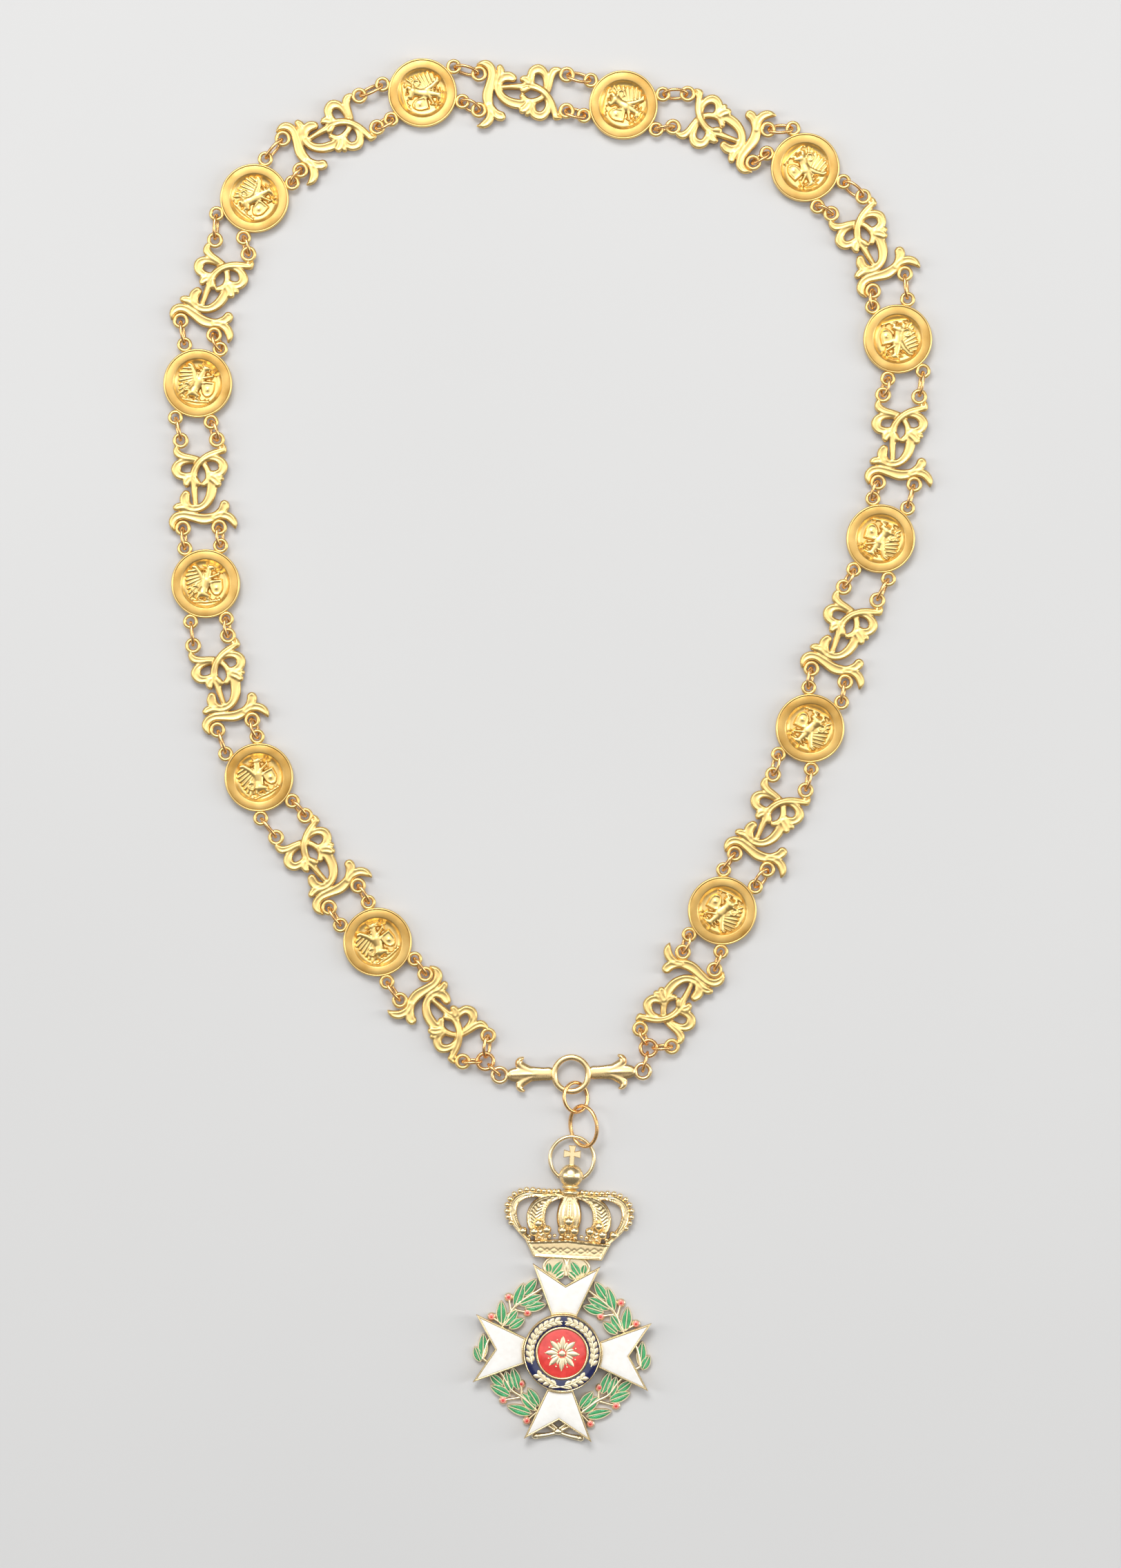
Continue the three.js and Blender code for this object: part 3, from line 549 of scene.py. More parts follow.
# The beast's relief: rounded strokes from one point to another, with radius and height at each, mm
BEAST_STROKES = {
    "wing_plate": [
        (-2.0, 3.4, 1.5, 0.5), (-4.2, 3.4, 2.0, 0.5), (-4.2, -1.4, 1.7, 0.4), (-3.6, -3.0, 1.6, 0.35),
    ],
    "wing_edge": [
        (-0.6, 1.2, 1.1, 1.15), (-1.5, 3.6, 0.95, 1.2), (-2.8, 5.7, 0.8, 1.15), (-4.6, 6.3, 0.65, 1.05),
        (-6.2, 5.4, 0.5, 0.95),
    ],
    "feather_1": [(-2.4, 4.8, 0.55, 0.95), (-6.3, 4.6, 0.5, 0.85)],
    "feather_2": [(-1.9, 3.7, 0.6, 0.92), (-6.3, 3.2, 0.54, 0.82)],
    "feather_3": [(-1.6, 2.7, 0.6, 0.9), (-6.15, 1.8, 0.56, 0.8)],
    "feather_4": [(-1.4, 1.9, 0.6, 0.86), (-6.0, 0.35, 0.56, 0.78)],
    "feather_5": [(-1.2, 1.2, 0.56, 0.84), (-5.85, -1.1, 0.56, 0.76)],
    "feather_6": [(-1.2, 0.6, 0.54, 0.8), (-5.7, -2.6, 0.54, 0.74)],
    "feather_7": [(-1.4, 0.0, 0.5, 0.76), (-5.5, -4.0, 0.5, 0.7)],
    "neck": [(0.1, 0.9, 1.6, 1.35), (0.9, 2.9, 1.3, 1.3), (1.6, 4.6, 1.05, 1.3)],
    "head": [(1.9, 5.2, 1.2, 1.4), (2.6, 5.3, 0.95, 1.35)],
    "beak": [(3.1, 5.3, 0.6, 1.2), (4.2, 5.0, 0.4, 1.05), (4.4, 4.2, 0.2, 0.85)],
    "lower_beak": [(2.6, 4.6, 0.45, 1.0), (3.7, 4.2, 0.25, 0.85)],
    "ear": [(1.4, 6.0, 0.45, 1.2), (0.9, 7.0, 0.2, 0.85)],
    "mane_1": [(0.9, 5.5, 0.4, 1.15), (-0.4, 6.1, 0.2, 0.75)],
    "mane_2": [(0.5, 4.6, 0.42, 1.15), (-0.9, 5.0, 0.2, 0.75)],
    "mane_3": [(0.1, 3.6, 0.42, 1.15), (-1.0, 3.9, 0.2, 0.8)],
    "body": [(0.4, 1.0, 1.8, 1.45), (-0.4, -1.2, 1.45, 1.25), (-1.4, -3.0, 1.7, 1.4)],
    "sword_arm": [(1.1, 1.8, 0.75, 1.3), (3.0, 2.4, 0.58, 1.2), (4.5, 2.9, 0.5, 1.2)],
    "sword": [(4.3, 1.9, 0.26, 1.15), (4.9, 3.8, 0.32, 1.15), (5.6, 5.3, 0.18, 0.95)],
    "sword_guard": [(3.9, 3.8, 0.26, 1.25), (5.8, 3.2, 0.26, 1.25)],
    "shield_arm": [(0.9, 0.2, 0.7, 1.3), (2.3, 0.3, 0.55, 1.2)],
    "near_leg": [
        (-1.3, -3.0, 1.5, 1.5), (0.4, -4.0, 0.9, 1.25), (-0.2, -5.0, 0.5, 1.05), (1.1, -5.4, 0.38, 0.95),
    ],
    "far_leg": [
        (-2.0, -3.2, 1.1, 1.15), (-3.1, -4.3, 0.62, 1.0), (-2.6, -5.2, 0.42, 0.9), (-1.4, -5.4, 0.34, 0.85),
    ],
    "tail": [
        (-2.5, -2.4, 0.42, 1.1), (-3.9, -2.7, 0.36, 1.1), (-4.8, -1.6, 0.34, 1.1),
        (-4.3, -0.4, 0.38, 1.1), (-3.2, -0.3, 0.5, 1.05), (-2.6, -0.9, 0.28, 0.9),
    ],
    "ground": [(-5.2, -5.7, 0.5, 0.75), (0.0, -6.1, 0.55, 0.8), (4.6, -5.8, 0.45, 0.75)],
    "grass_1": [(-4.4, -5.6, 0.24, 0.85), (-4.7, -4.8, 0.14, 0.65)],
    "grass_2": [(2.6, -5.8, 0.24, 0.85), (3.1, -4.9, 0.14, 0.65)],
    "far_grass": [(3.6, -5.8, 0.22, 0.85), (4.4, -4.9, 0.14, 0.65)],
}
SHIELD = dict(x=3.5, y=-1.6, wide=2.15, tall=2.7, height=1.2)

# The relief's radius, the grid's step, how far its ground and its underside lie under the dish's floor,
# mm, and by how many steps it is softened
RELIEF = dict(reach=7.25, pitch=0.18, sunk=0.08, set_in=0.5, soften=0.75)


def lathe(profile, sides):
    """A turned shell from rows of radius, height and depth, the painted shade, that start and end on the
    axis.
    """
    rings = profile[1:-1]
    points = [(0, 0, profile[0][1])]
    for i in range(sides):
        turn = 2 * math.pi * i / sides
        points += [(r * math.cos(turn), r * math.sin(turn), z) for r, z, _ in rings]
    points.append((0, 0, profile[-1][1]))
    faces, across = [], len(rings)
    for i in range(sides):
        a, b = 1 + i * across, 1 + ((i + 1) % sides) * across
        faces += [(a + j, b + j, b + j + 1, a + j + 1) for j in range(across - 1)]
        faces += [(0, b, a), (a + across - 1, b + across - 1, len(points) - 1)]
    depths = [profile[0][2]] + [depth for *_, depth in rings] * sides + [profile[-1][2]]
    return points, faces, depths


def stroke_height(x, y, rows):
    """The height of one rounded stroke at each point of a grid."""
    height = np.full(x.shape, -1.0)
    for (x0, y0, r0, h0), (x1, y1, r1, h1) in zip(rows, rows[1:]):
        run = (x1 - x0) ** 2 + (y1 - y0) ** 2
        t = np.clip(((x - x0) * (x1 - x0) + (y - y0) * (y1 - y0)) / run, 0, 1)
        away = np.hypot(x - x0 - t * (x1 - x0), y - y0 - t * (y1 - y0)) / (r0 + t * (r1 - r0))
        dome = np.sqrt(np.clip(1 - away**2, 0, 1))
        height = np.maximum(height, np.where(away < 1, (h0 + t * (h1 - h0)) * (0.3 + 0.7 * dome), -1.0))
    return height


def shield_height(x, y):
    """A blank shield: straight sides, a pointed foot and a raised border."""
    across, up = np.abs(x - SHIELD["x"]) / SHIELD["wide"], (y - SHIELD["y"]) / SHIELD["tall"]
    foot = across**1.6 + np.clip(0.1 - up, 0, 2) ** 1.8 / 1.2
    inside = np.maximum(np.maximum(across, foot), np.abs(up))
    border = np.interp(inside, [0.0, 0.66, 0.76, 0.95, 1.0], [0.84, 0.8, 1.0, 0.95, 0.5])
    boss = 0.25 * np.exp(-((x - SHIELD["x"]) ** 2 + (y - SHIELD["y"] + 0.1) ** 2) / 0.3)
    return np.where(inside < 1, SHIELD["height"] * border + boss, -1.0)


def beast_field(x, y):
    """The dish's floor with the beast standing out of it."""
    height = shield_height(x, y)
    for rows in BEAST_STROKES.values():
        height = np.maximum(height, stroke_height(x, y, rows))
    return np.hypot(x, y) - RELIEF["reach"], DISH_FLOOR - RELIEF["sunk"] + np.maximum(height, 0)


def medallion_mesh():
    """One medallion: the turned disc, the beast and the four eyelets."""
    reach, set_in = RELIEF["reach"], DISH_FLOOR - RELIEF["set_in"]
    relief = casting(
        beast_field, (-reach, -reach), (reach, reach), RELIEF["pitch"], set_in, RELIEF["soften"]
    )
    shells = [lathe(MEDALLION_PROFILE, 72), relief, *corner_eyelets(MEDALLION_EYELETS)]
    return mesh_of("medallion", shells, 50)


# Satin gilding, dulled evenly before the bath: light spreads wide over the rim, and the dish turns a
# warmer yellow where its slope shades it. The deep colour is painted shade in the beast's hollows and
# down the sides, and also darkens the rim
medallion_gold = gilt_metal("satin_gilt", "#f4d288", "#a87c34", 0.36, 0.22, 0.004)
medallions = copy_onto(
    "medallions",
    medallion_mesh(),
    medallion_gold,
    [in_frame(p["x"], p["y"]) for p in MEDALLION_PLACES],
    [(0, 0, -math.radians(p["heading"])) for p in MEDALLION_PLACES],
)
medallion_nodes = [f"medallion_{i + 1:02d}" for i in range(len(MEDALLION_PLACES))]
place_piece("medallions", medallions, None, medallion_nodes)


# Jump rings
# Two oval rings of gilt wire at every joint of the chain, cut from a coil and closed end to end; their
# coppery tone is a painted reflection.
# Each stands on edge in two eyelets and leans over a little.

# Lengths to the middle of the wire and its radius, mm, and the seam where its ends meet, degrees
JUMP = dict(length=7.2, height=4.3, wire=0.54, z=2.7, seam=1.2)
CONNECTING = dict(r=2.7, wire=0.64, left=(-20.9, -104.1), right=(33.6, -99.7))
LINK_GAP = 0.1  # between two wires that hang in each other

# How far each scroll link's rings lean: back left, back right, front left, front right, degrees
JUMP_LEANS = [
    (10, 25, -12, 15), (12, -20, 8, 20), (-10, 25, 6, -22), (14, 25, 10, 28), (8, 28, -12, 20),
    (15, 20, 30, 38), (30, 40, 42, 42), (38, 10, 40, 24), (38, 20, 12, 26), (10, 25, 12, 28),
    (-14, 20, 10, 22), (12, 24, 40, 14), (10, 24, -14, 20),
]


def rings_tree():
    """Grows a closed wire ring on each place, turned and sized as the place says."""
    tree, given, result = new_tree("wire_rings", [
        ("Wire", "NodeSocketFloat"), ("Seam", "NodeSocketFloat"), ("Material", "NodeSocketMaterial"),
    ])
    sweep = add(tree, "ShaderNodeMath", {0: 2 * math.pi, 1: given.outputs["Seam"]}, operation="SUBTRACT")
    loop = add(tree, "GeometryNodeCurveArc", {
        "Resolution": 40, "Radius": 1.0, "Sweep Angle": sweep.outputs[0],
    })
    turn = add(tree, "GeometryNodeInputNamedAttribute", {"Name": "turn"}, data_type="FLOAT_VECTOR")
    size = add(tree, "GeometryNodeInputNamedAttribute", {"Name": "size"}, data_type="FLOAT_VECTOR")
    rings = add(tree, "GeometryNodeInstanceOnPoints", {
        "Points": given.outputs["Geometry"], "Instance": loop.outputs["Curve"],
        "Rotation": turn.outputs["Attribute"], "Scale": size.outputs["Attribute"],
    })
    curves = add(tree, "GeometryNodeRealizeInstances", {"Geometry": rings.outputs[0]})
    wire = add(tree, "GeometryNodeCurvePrimitiveCircle", {"Resolution": 10, "Radius": given.outputs["Wire"]})
    tubes = add(tree, "GeometryNodeCurveToMesh", {
        "Curve": curves.outputs[0], "Profile Curve": wire.outputs["Curve"], "Fill Caps": True,
    })
    dressed = add(tree, "GeometryNodeSetMaterial", {
        "Geometry": tubes.outputs[0], "Material": given.outputs["Material"],
    })
    tree.links.new(dressed.outputs[0], result.inputs[0])
    return tree


def grow_rings(name, rings, wire, material):
    """One mesh of oval rings, each of place, turn and width and height to the wire's middle."""
    places = places_mesh(
        name + "_places",
        [ring["place"] for ring in rings],
        turn=[ring["turn"] for ring in rings],
        size=[(ring["width"] / 2 * MM, ring["height"] / 2 * MM, 1) for ring in rings],
    )
    seam = math.radians(JUMP["seam"])
    mesh = grow(name, places, RINGS, {"Wire": wire * MM, "Seam": seam, "Material": material})
    return finished(mesh, 50)


RINGS = rings_tree()


def eyelet_place(piece, size, end, side):
    """An eyelet's middle at a piece's front (end 1) or back, on its right (side 1) or left, mm."""
    heading = math.radians(piece["heading"])
    ahead, right = (math.sin(heading), math.cos(heading)), (math.cos(heading), -math.sin(heading))
    return np.array([
        piece[axis] + end * size["along"] / 2 * ahead[i] + side * size["across"] / 2 * right[i]
        for i, axis in enumerate("xy")
    ])


def inside_connecting_ring(centre, facing):
    """Just inside a connecting ring's wire, on the side that faces a point."""
    way = (facing - centre) / np.linalg.norm(facing - centre)
    return centre + way * (CONNECTING["r"] - CONNECTING["wire"] - JUMP["wire"] - LINK_GAP)


def standing_ring(start, stop, width, lean):
    """A ring on edge between two points, leaning over by the given angle."""
    x, y = (start + stop) / 2
    turn = (math.radians(90 + lean), 0, math.atan2(stop[1] - start[1], stop[0] - start[0]))
    x, y, _ = in_frame(x, y)
    return dict(place=(x, y, JUMP["z"] * MM), turn=turn, width=width, height=JUMP["height"])


def jump_rings():
    """The four rings of every scroll link, to the medallions beside it or to a connecting ring."""
    rings = []
    for i, (piece, leans) in enumerate(zip(SCROLL_PLACES, JUMP_LEANS)):
        for (end, side), lean in zip(((-1, -1), (-1, 1), (1, -1), (1, 1)), leans):
            start = eyelet_place(piece, SCROLL_EYELETS, end, side)
            beside = i - (end == -1)
            if 0 <= beside < len(MEDALLION_PLACES):
                stop = eyelet_place(MEDALLION_PLACES[beside], MEDALLION_EYELETS, -end, side)
                width = (JUMP["length"] + math.dist(start, stop)) / 2
            else:
                ring = np.array(CONNECTING["right" if end == 1 else "left"])
                stop = inside_connecting_ring(ring, start)
                width = math.dist(start, stop)
            rings.append(standing_ring(start, stop, width, lean))
    return rings


# Drawn wire, thinly gilt: smooth, with sharp bright lines along it. It is redder than the castings, a
# painted reflection of a red ground
ring_gilt_painted_reflection = gilt_metal("coppery_gilt_wire", "#f5c382", "#9c652e", 0.28, 0.5, 0.0015)
jump_mesh = grow_rings("jump_rings", jump_rings(), JUMP["wire"], ring_gilt_painted_reflection)
place_piece("jump_rings", jump_mesh, None)


# Crossbar
# A cast bar with a round ring in its middle. Each arm spreads into two curled hooks and a leaf with a
# sunk vein, and a wire eyelet is soldered to the leaf's tip.

BAR = dict(x=7.8, y=-108.4, turn=-1.6, bottom=1.9, height=1.75)
BAR_CASTING = dict(low=(-22.8, -6.1), high=(22.8, 6.6), pitch=0.18, soften=1.7)
BAR_RING = dict(middle=5.7, wire=1.0, flat=0.72, z=3.4)
BAR_EYELETS = dict(x=23.9, y=0.35, middle=2.42, wire=0.68, z=2.7)

# The right arm's strokes from the ring outward: how each is shaped across, and its centre line with half
# width and lift, as the scroll links'
BAR_STROKES = dict(
    arm=("ridged", [
        (7.6, 0.35, 2.2, 0.0), (9.5, 0.35, 2.15, 0.0), (12.6, 0.45, 2.4, 0.0), (15.4, 0.45, 2.75, -0.2),
    ]),
    upper_hook=("domed", [
        (12.8, 1.4, 1.1, 0.0), (15.0, 2.1, 1.5, 0.0), (16.9, 3.3, 1.5, 0.1), (17.4, 4.6, 1.1, 0.2),
        (16.9, 5.4, 0.8, 0.2), (16.1, 5.8, 0.5, 0.1),
    ]),
    lower_hook=("domed", [
        (12.8, -0.5, 1.1, 0.0), (15.0, -1.3, 1.5, 0.0), (16.9, -2.5, 1.5, 0.1), (17.4, -3.9, 1.1, 0.2),
        (16.9, -4.7, 0.8, 0.2), (16.1, -5.1, 0.5, 0.1),
    ]),
    leaf=("ridged", [
        (12.2, 0.35, 0.4, 0.0), (15.2, 0.35, 1.3, 0.15), (17.8, 0.35, 2.3, 0.2), (19.6, 0.35, 2.0, 0.1),
        (20.9, 0.35, 1.1, -0.1), (21.5, 0.35, 0.6, -0.4),
    ]),
    vein=("vein", [(11.5, 0.35, 0.12, 0.12), (15.0, 0.35, 0.25, 0.3), (20.2, 0.35, 0.2, 0.25)]),
)


def shaped_stroke(x, y, kind, rows, bottom, height):
    """A stroke's distance outside and height: domed, ridged like a roof, or a low vein."""
    outside, half, lift = stroke_field(x, y, rows)
    across = np.clip(1 + outside / np.maximum(half, 0.05), 0, 1)
    rise = {
        "domed": 0.35 + 0.65 * np.sqrt(1 - across**2),
        "ridged": np.minimum(0.5 + 2.2 * (1 - across), 0.86 + 0.14 * (1 - across)),
        "vein": 0.95 + 0.1 * (1 - across),
    }[kind]
    return outside, bottom + lift + height * rise


def bar_field(x, y):
    """Both arms of the bar, one the mirror of the other."""
    return piled([
        shaped_stroke(np.abs(x), y, kind, rows, BAR["bottom"], BAR["height"])
        for kind, rows in BAR_STROKES.values()
    ])


def turned_place(x, y, turn):
    """Moves a model to its place in the frame, turned clockwise."""
    return Matrix.Translation(in_frame(x, y)) @ Matrix.Rotation(-math.radians(turn), 4, "Z")


bar_shells = [
    casting(bar_field, bottom=BAR["bottom"], **BAR_CASTING),
    wire_ring(0, 0, BAR_RING["z"], BAR_RING["middle"], BAR_RING["wire"], 56, 14, BAR_RING["flat"]),
]
for bar_side in (-1, 1):
    bar_shells.append(wire_ring(
        bar_side * BAR_EYELETS["x"], BAR_EYELETS["y"], BAR_EYELETS["z"],
        BAR_EYELETS["middle"], BAR_EYELETS["wire"], 36,
    ))

# Cast metal polished on the wheel after gilding: smoother and paler than the links, with crisp lights
# along the ring and the ridges, and painted shade, a browner gold, in its hollows and down its sides
bar_gold = gilt_metal("polished_gilt", "#fedda2", "#a8752e", 0.3, 0.3, 0.0012)
bar_mesh = mesh_of("crossbar_casting", bar_shells, move=turned_place(BAR["x"], BAR["y"], BAR["turn"]))
place_piece("crossbar_casting", bar_mesh, bar_gold, ["crossbar"])


# Connecting rings and pendant rings
# A round wire ring gathers each end of the chain, and a small oval one ties it to the bar. Two larger
# oval rings of the same wire, with the same painted coppery reflection, carry the badge.

PENDANT_WIRE = 0.62

# Sizes to the middle of the wire, mm; tilt out of the lying plane and lean in it, degrees
PENDANT_RINGS = dict(
    upper=dict(x=9.3, y=-116.1, z=3.28, width=9.35, height=9.9, tilt=-34, lean=8),
    lower=dict(x=11.9, y=-125.7, z=3.52, width=10.5, height=13.65, tilt=33, lean=7),
)


def bar_eyelet(side):
    """The middle of the bar's left (-1) or right (1) eyelet, mm."""
    turn = -math.radians(BAR["turn"])
    x, y = side * BAR_EYELETS["x"], BAR_EYELETS["y"]
    return np.array([
        BAR["x"] + x * math.cos(turn) - y * math.sin(turn),
        BAR["y"] + x * math.sin(turn) + y * math.cos(turn),
    ])


def place_ring(name, ring, wire, node):
    """One wire ring as a piece of its own."""
    place_piece(name, grow_rings(name, [ring], wire, ring_gilt_painted_reflection), None, [node])


for side_name, side in (("left", -1), ("right", 1)):
    ring_middle = np.array(CONNECTING[side_name])
    x, y, _ = in_frame(*ring_middle)
    across = 2 * CONNECTING["r"]
    flat_ring = dict(place=(x, y, JUMP["z"] * MM), turn=(0, 0, 1.0), width=across, height=across)
    place_ring(f"connecting_{side_name}", flat_ring, CONNECTING["wire"], f"connecting_ring_{side_name}")
    stop = bar_eyelet(side)
    start = inside_connecting_ring(ring_middle, stop)
    tie = standing_ring(start, stop, math.dist(start, stop), 0)
    place_ring(f"bar_tie_{side_name}", tie, JUMP["wire"], f"bar_ring_{side_name}")

for ring_name, ring in PENDANT_RINGS.items():
    x, y, _ = in_frame(ring["x"], ring["y"])
    shape = dict(
        place=(x, y, ring["z"] * MM), turn=(0, -math.radians(ring["tilt"]), math.radians(ring["lean"])),
        width=ring["width"], height=ring["height"],
    )
    place_ring(f"pendant_{ring_name}", shape, PENDANT_WIRE, f"pendant_ring_{ring_name}")


# Crown
# An openwork royal crown, cast in gilt metal and chased: five arches with beaded edges, trefoils of
# balls above an engraved circlet, an orb and cross, and a round wire bail behind them.

BADGE = dict(x=4.75, y=-201.3, turn=2.9)
ON_BADGE = turned_place(BADGE["x"], BADGE["y"], BADGE["turn"])
CROWN = dict(bottom=0.5, height=2.7)
CROWN_CASTING = dict(low=(-20.5, 31.0), high=(20.5, 53.6), pitch=0.19, soften=0.95)

# The left half's arches, x, y, half width and lift of the centre line
CROWN_ARCHES = dict(
    outer=[
        (-13.3, 37.2, 0.9, 0.0), (-16.2, 40.2, 1.0, 0.0), (-18.2, 43.2, 1.25, 0.0), (-18.9, 46.6, 1.4, 0.1),
        (-18.0, 49.8, 1.4, 0.1), (-15.2, 51.8, 1.3, 0.1), (-11.5, 52.3, 1.0, 0.1), (-6.5, 52.4, 0.85, 0.2),
        (-2.0, 52.8, 0.7, 0.2),
    ],
    inner=[
        (-2.4, 51.9, 0.6, 0.5), (-5.0, 51.5, 1.0, 0.4), (-7.8, 50.4, 1.75, 0.3), (-10.2, 48.0, 2.7, 0.3),
        (-11.0, 45.2, 3.15, 0.3), (-10.8, 42.6, 3.0, 0.3), (-9.5, 40.4, 2.5, 0.2), (-8.9, 37.5, 2.2, 0.0),
    ],
)

# The middle arch, seen from the front and swelling like an egg
CROWN_EGG = [
    (0.0, 52.4, 0.8, 0.2), (0.0, 50.6, 2.5, 0.4), (0.0, 47.9, 3.75, 0.65), (0.0, 45.2, 4.15, 0.7),
    (0.0, 42.5, 3.6, 0.6), (0.0, 40.0, 3.0, 0.4), (0.0, 38.0, 2.6, 0.2),
]

# The circlet's corners, its edge by the distance in from it, and how far its middle bulges forward
CIRCLET = [(-14.2, 36.7), (-11.2, 31.3), (11.7, 31.2), (14.5, 36.9), (0.0, 37.9)]
CIRCLET_EDGE = [(0.0, 0.5), (0.15, 0.85), (0.4, 1.0), (0.75, 0.95), (1.0, 0.8), (1.15, 0.84), (3.0, 0.84)]
CIRCLET_BULGE = dict(rise=0.9, half=15)

# The engraved lozenges, one to a cell, with an oval between each two: their half widths and heights, mm,
# and where each one's line runs and how wide, as shares of its size
ENGRAVING = dict(cell=4.5, y=33.9, slant=0.02, cut=0.05, margin=1.1)
LOZENGE = dict(half=1.75, tall=1.15, line=0.85, wide=0.13)
OVAL = dict(half=0.5, tall=0.75, line=0.8, wide=0.3)

# The leaf pairs chased on an inner arch: height of one, slope, rise, and where they begin in from the edge
CHEVRONS = dict(step=1.2, slope=0.9, rise=0.08, begin=1.25, fade=0.3)

# Chased edge of an arch by the distance in from its edge, mm: a bead roll, a groove and a raised middle
ARCH_EDGE = [
    (0.0, 0.5), (0.15, 0.84), (0.35, 0.96), (0.55, 0.88), (0.7, 0.7), (0.82, 0.7), (0.98, 0.86), (1.15, 0.84),
    (1.3, 0.72), (1.5, 0.7), (3.0, 0.72),
]


def place_on_badge(name, shells, material, replaces=(), crease=42):
    """Closed shells as one piece of the badge."""
    place_piece(name, mesh_of(name, shells, crease, ON_BADGE), material, replaces)


def place_copies(name, model, material, slot, places, turns, sizes=None, replaces=()):
    """Copies of a model at places on the badge, as one piece."""
    mesh = copy_onto(name, model, material, places, turns, sizes)
    mesh.transform(ON_BADGE)
    place_piece(name, mesh, None, replaces)


def polygon_outside(x, y, corners):
    """How far outside a convex outline, its corners counter-clockwise, each point of a grid lies."""
    outside = np.full(x.shape, -1e3)
    for (x0, y0), (x1, y1) in zip(corners, corners[1:] + corners[:1]):
        length = math.dist((x0, y0), (x1, y1))
        outside = np.maximum(outside, ((x - x0) * (y1 - y0) - (y - y0) * (x1 - x0)) / length)
    return outside


def circlet_field(x, y):
    """The circlet: rolled along its edges, with a band of engraved lozenges and ovals, bulging forward."""
    outside = polygon_outside(x, y, CIRCLET)
    rise = np.interp(-outside, *zip(*CIRCLET_EDGE))
    cell = x / ENGRAVING["cell"]
    across = np.abs((cell - np.round(cell)) * ENGRAVING["cell"])
    up = y - ENGRAVING["y"] - ENGRAVING["slant"] * x
    lozenge = across / LOZENGE["half"] + np.abs(up) / LOZENGE["tall"]
    oval = np.hypot((across - ENGRAVING["cell"] / 2) / OVAL["half"], up / OVAL["tall"])
    lines = np.abs(lozenge - LOZENGE["line"]) < LOZENGE["wide"]
    lines |= np.abs(oval - OVAL["line"]) < OVAL["wide"]
    rise = rise - ENGRAVING["cut"] * (lines & (outside < -ENGRAVING["margin"]))
    bulge = CIRCLET_BULGE["rise"] * (1 - (x / CIRCLET_BULGE["half"]) ** 2)
    return outside, CROWN["bottom"] + CROWN["height"] * rise + bulge


def crown_field(x, y):
    """The circlet, the arches on both sides and the middle one with its long flutes."""
    fields = [circlet_field(x, y)]
    for place, rows in CROWN_ARCHES.items():
        outside, half, lift = stroke_field(-np.abs(x), y, rows)
        rise = np.interp(-outside, *zip(*ARCH_EDGE))
        if place == "inner":
            chevron = np.cos(2 * math.pi * (y - CHEVRONS["slope"] * (half + outside)) / CHEVRONS["step"])
            fade = CHEVRONS["fade"]
            rise += CHEVRONS["rise"] * chevron * np.clip(-outside - CHEVRONS["begin"], 0, fade) / fade
        fields.append((outside, CROWN["bottom"] + lift + CROWN["height"] * rise))
    outside, half, lift = stroke_field(x, y, CROWN_EGG)
    across = np.clip(1 + outside / half, 0, 1)
    rise = 0.45 + 0.5 * np.sqrt(1 - across**2) + 0.06 * np.cos(across * 5 * math.pi)
    fields.append((outside, CROWN["bottom"] + lift + CROWN["height"] * rise))
    return piled(fields)


# Chased gilding, burnished on the high places: pale and bright along every bead and edge, with painted
# shade that turns it brown in the grooves between them and under the balls
crown_gold = gilt_metal("chased_gilt", "#fee6b4", "#a06c2a", 0.28, 0.25, 0.0012)
crown_flat = casting(crown_field, bottom=CROWN["bottom"], **CROWN_CASTING)
place_on_badge("crown_arches", [crown_flat], crown_gold, ["crown"])

# Balls and pearls of the left half: x, y, z and radius, mm
CROWN_BALLS = [
    (-10.1, 42.7, 3.3, 1.6), (-11.4, 39.9, 3.2, 1.6), (-7.2, 40.7, 3.3, 1.55), (-15.1, 39.9, 2.5, 1.4),
    (-2.0, 40.8, 3.9, 1.55), (0.0, 43.8, 4.0, 1.75),
]
CIRCLET_PEARLS = [
    (-12.8, 38.3, 2.9, 0.6), (-9.6, 38.0, 3.3, 0.7), (-6.2, 38.6, 3.4, 0.75), (-4.5, 38.9, 3.6, 0.6),
    (-2.4, 38.4, 3.8, 0.75), (0.0, 38.7, 3.9, 0.8),
]

# The pearls along the outer arch, x and y, with one height and radius
ARCH_PEARLS = [
    (-19.2, 42.4), (-20.3, 44.2), (-20.8, 46.2), (-20.8, 48.3), (-20.0, 50.3), (-18.6, 52.0), (-16.7, 53.1),
    (-14.6, 53.7), (-12.5, 53.8), (-10.6, 53.6), (-8.8, 53.5), (-7.1, 53.5), (-5.4, 53.5), (-3.9, 53.6),
]
ARCH_PEARL = dict(z=2.4, r=0.95)

# The fine beads along an inner arch where it is wide enough, and those down the middle one
ARCH_BEADS = dict(r=0.3, step=0.85, z=3.0, least_half=1.2, inset=0.75)
EGG_BEADS = dict(r=0.34, step=0.95, z=4.0, first=46.0, last=51.5)


def ball_mesh():
    """A round ball of 1 mm radius, with painted shade growing toward its underside."""
    turns = [math.pi * i / 10 for i in range(11)]
    profile = [(math.sin(a), math.cos(a), 0.25 * (1 - math.cos(a))) for a in turns]
    return mesh_of("ball", [lathe([(0, 1, 0), *profile[1:-1], (0, -1, 0.5)], 18)], 180)


def place_balls(name, balls, material, slot):
    """One piece of balls, each of x, y, z and its radius or three half sizes."""
    places = [tuple(v * MM for v in ball[:3]) for ball in balls]
    sizes = [ball[3:] if len(ball) == 6 else (ball[3],) * 3 for ball in balls]
    place_copies(name, ball_mesh(), material, slot, places, [(0, 0, 0)] * len(balls), sizes)


def both_sides(rows):
    """Rows with those off the middle line repeated on its other side."""
    return rows + [(-row[0], *row[1:]) for row in rows if row[0] != 0]


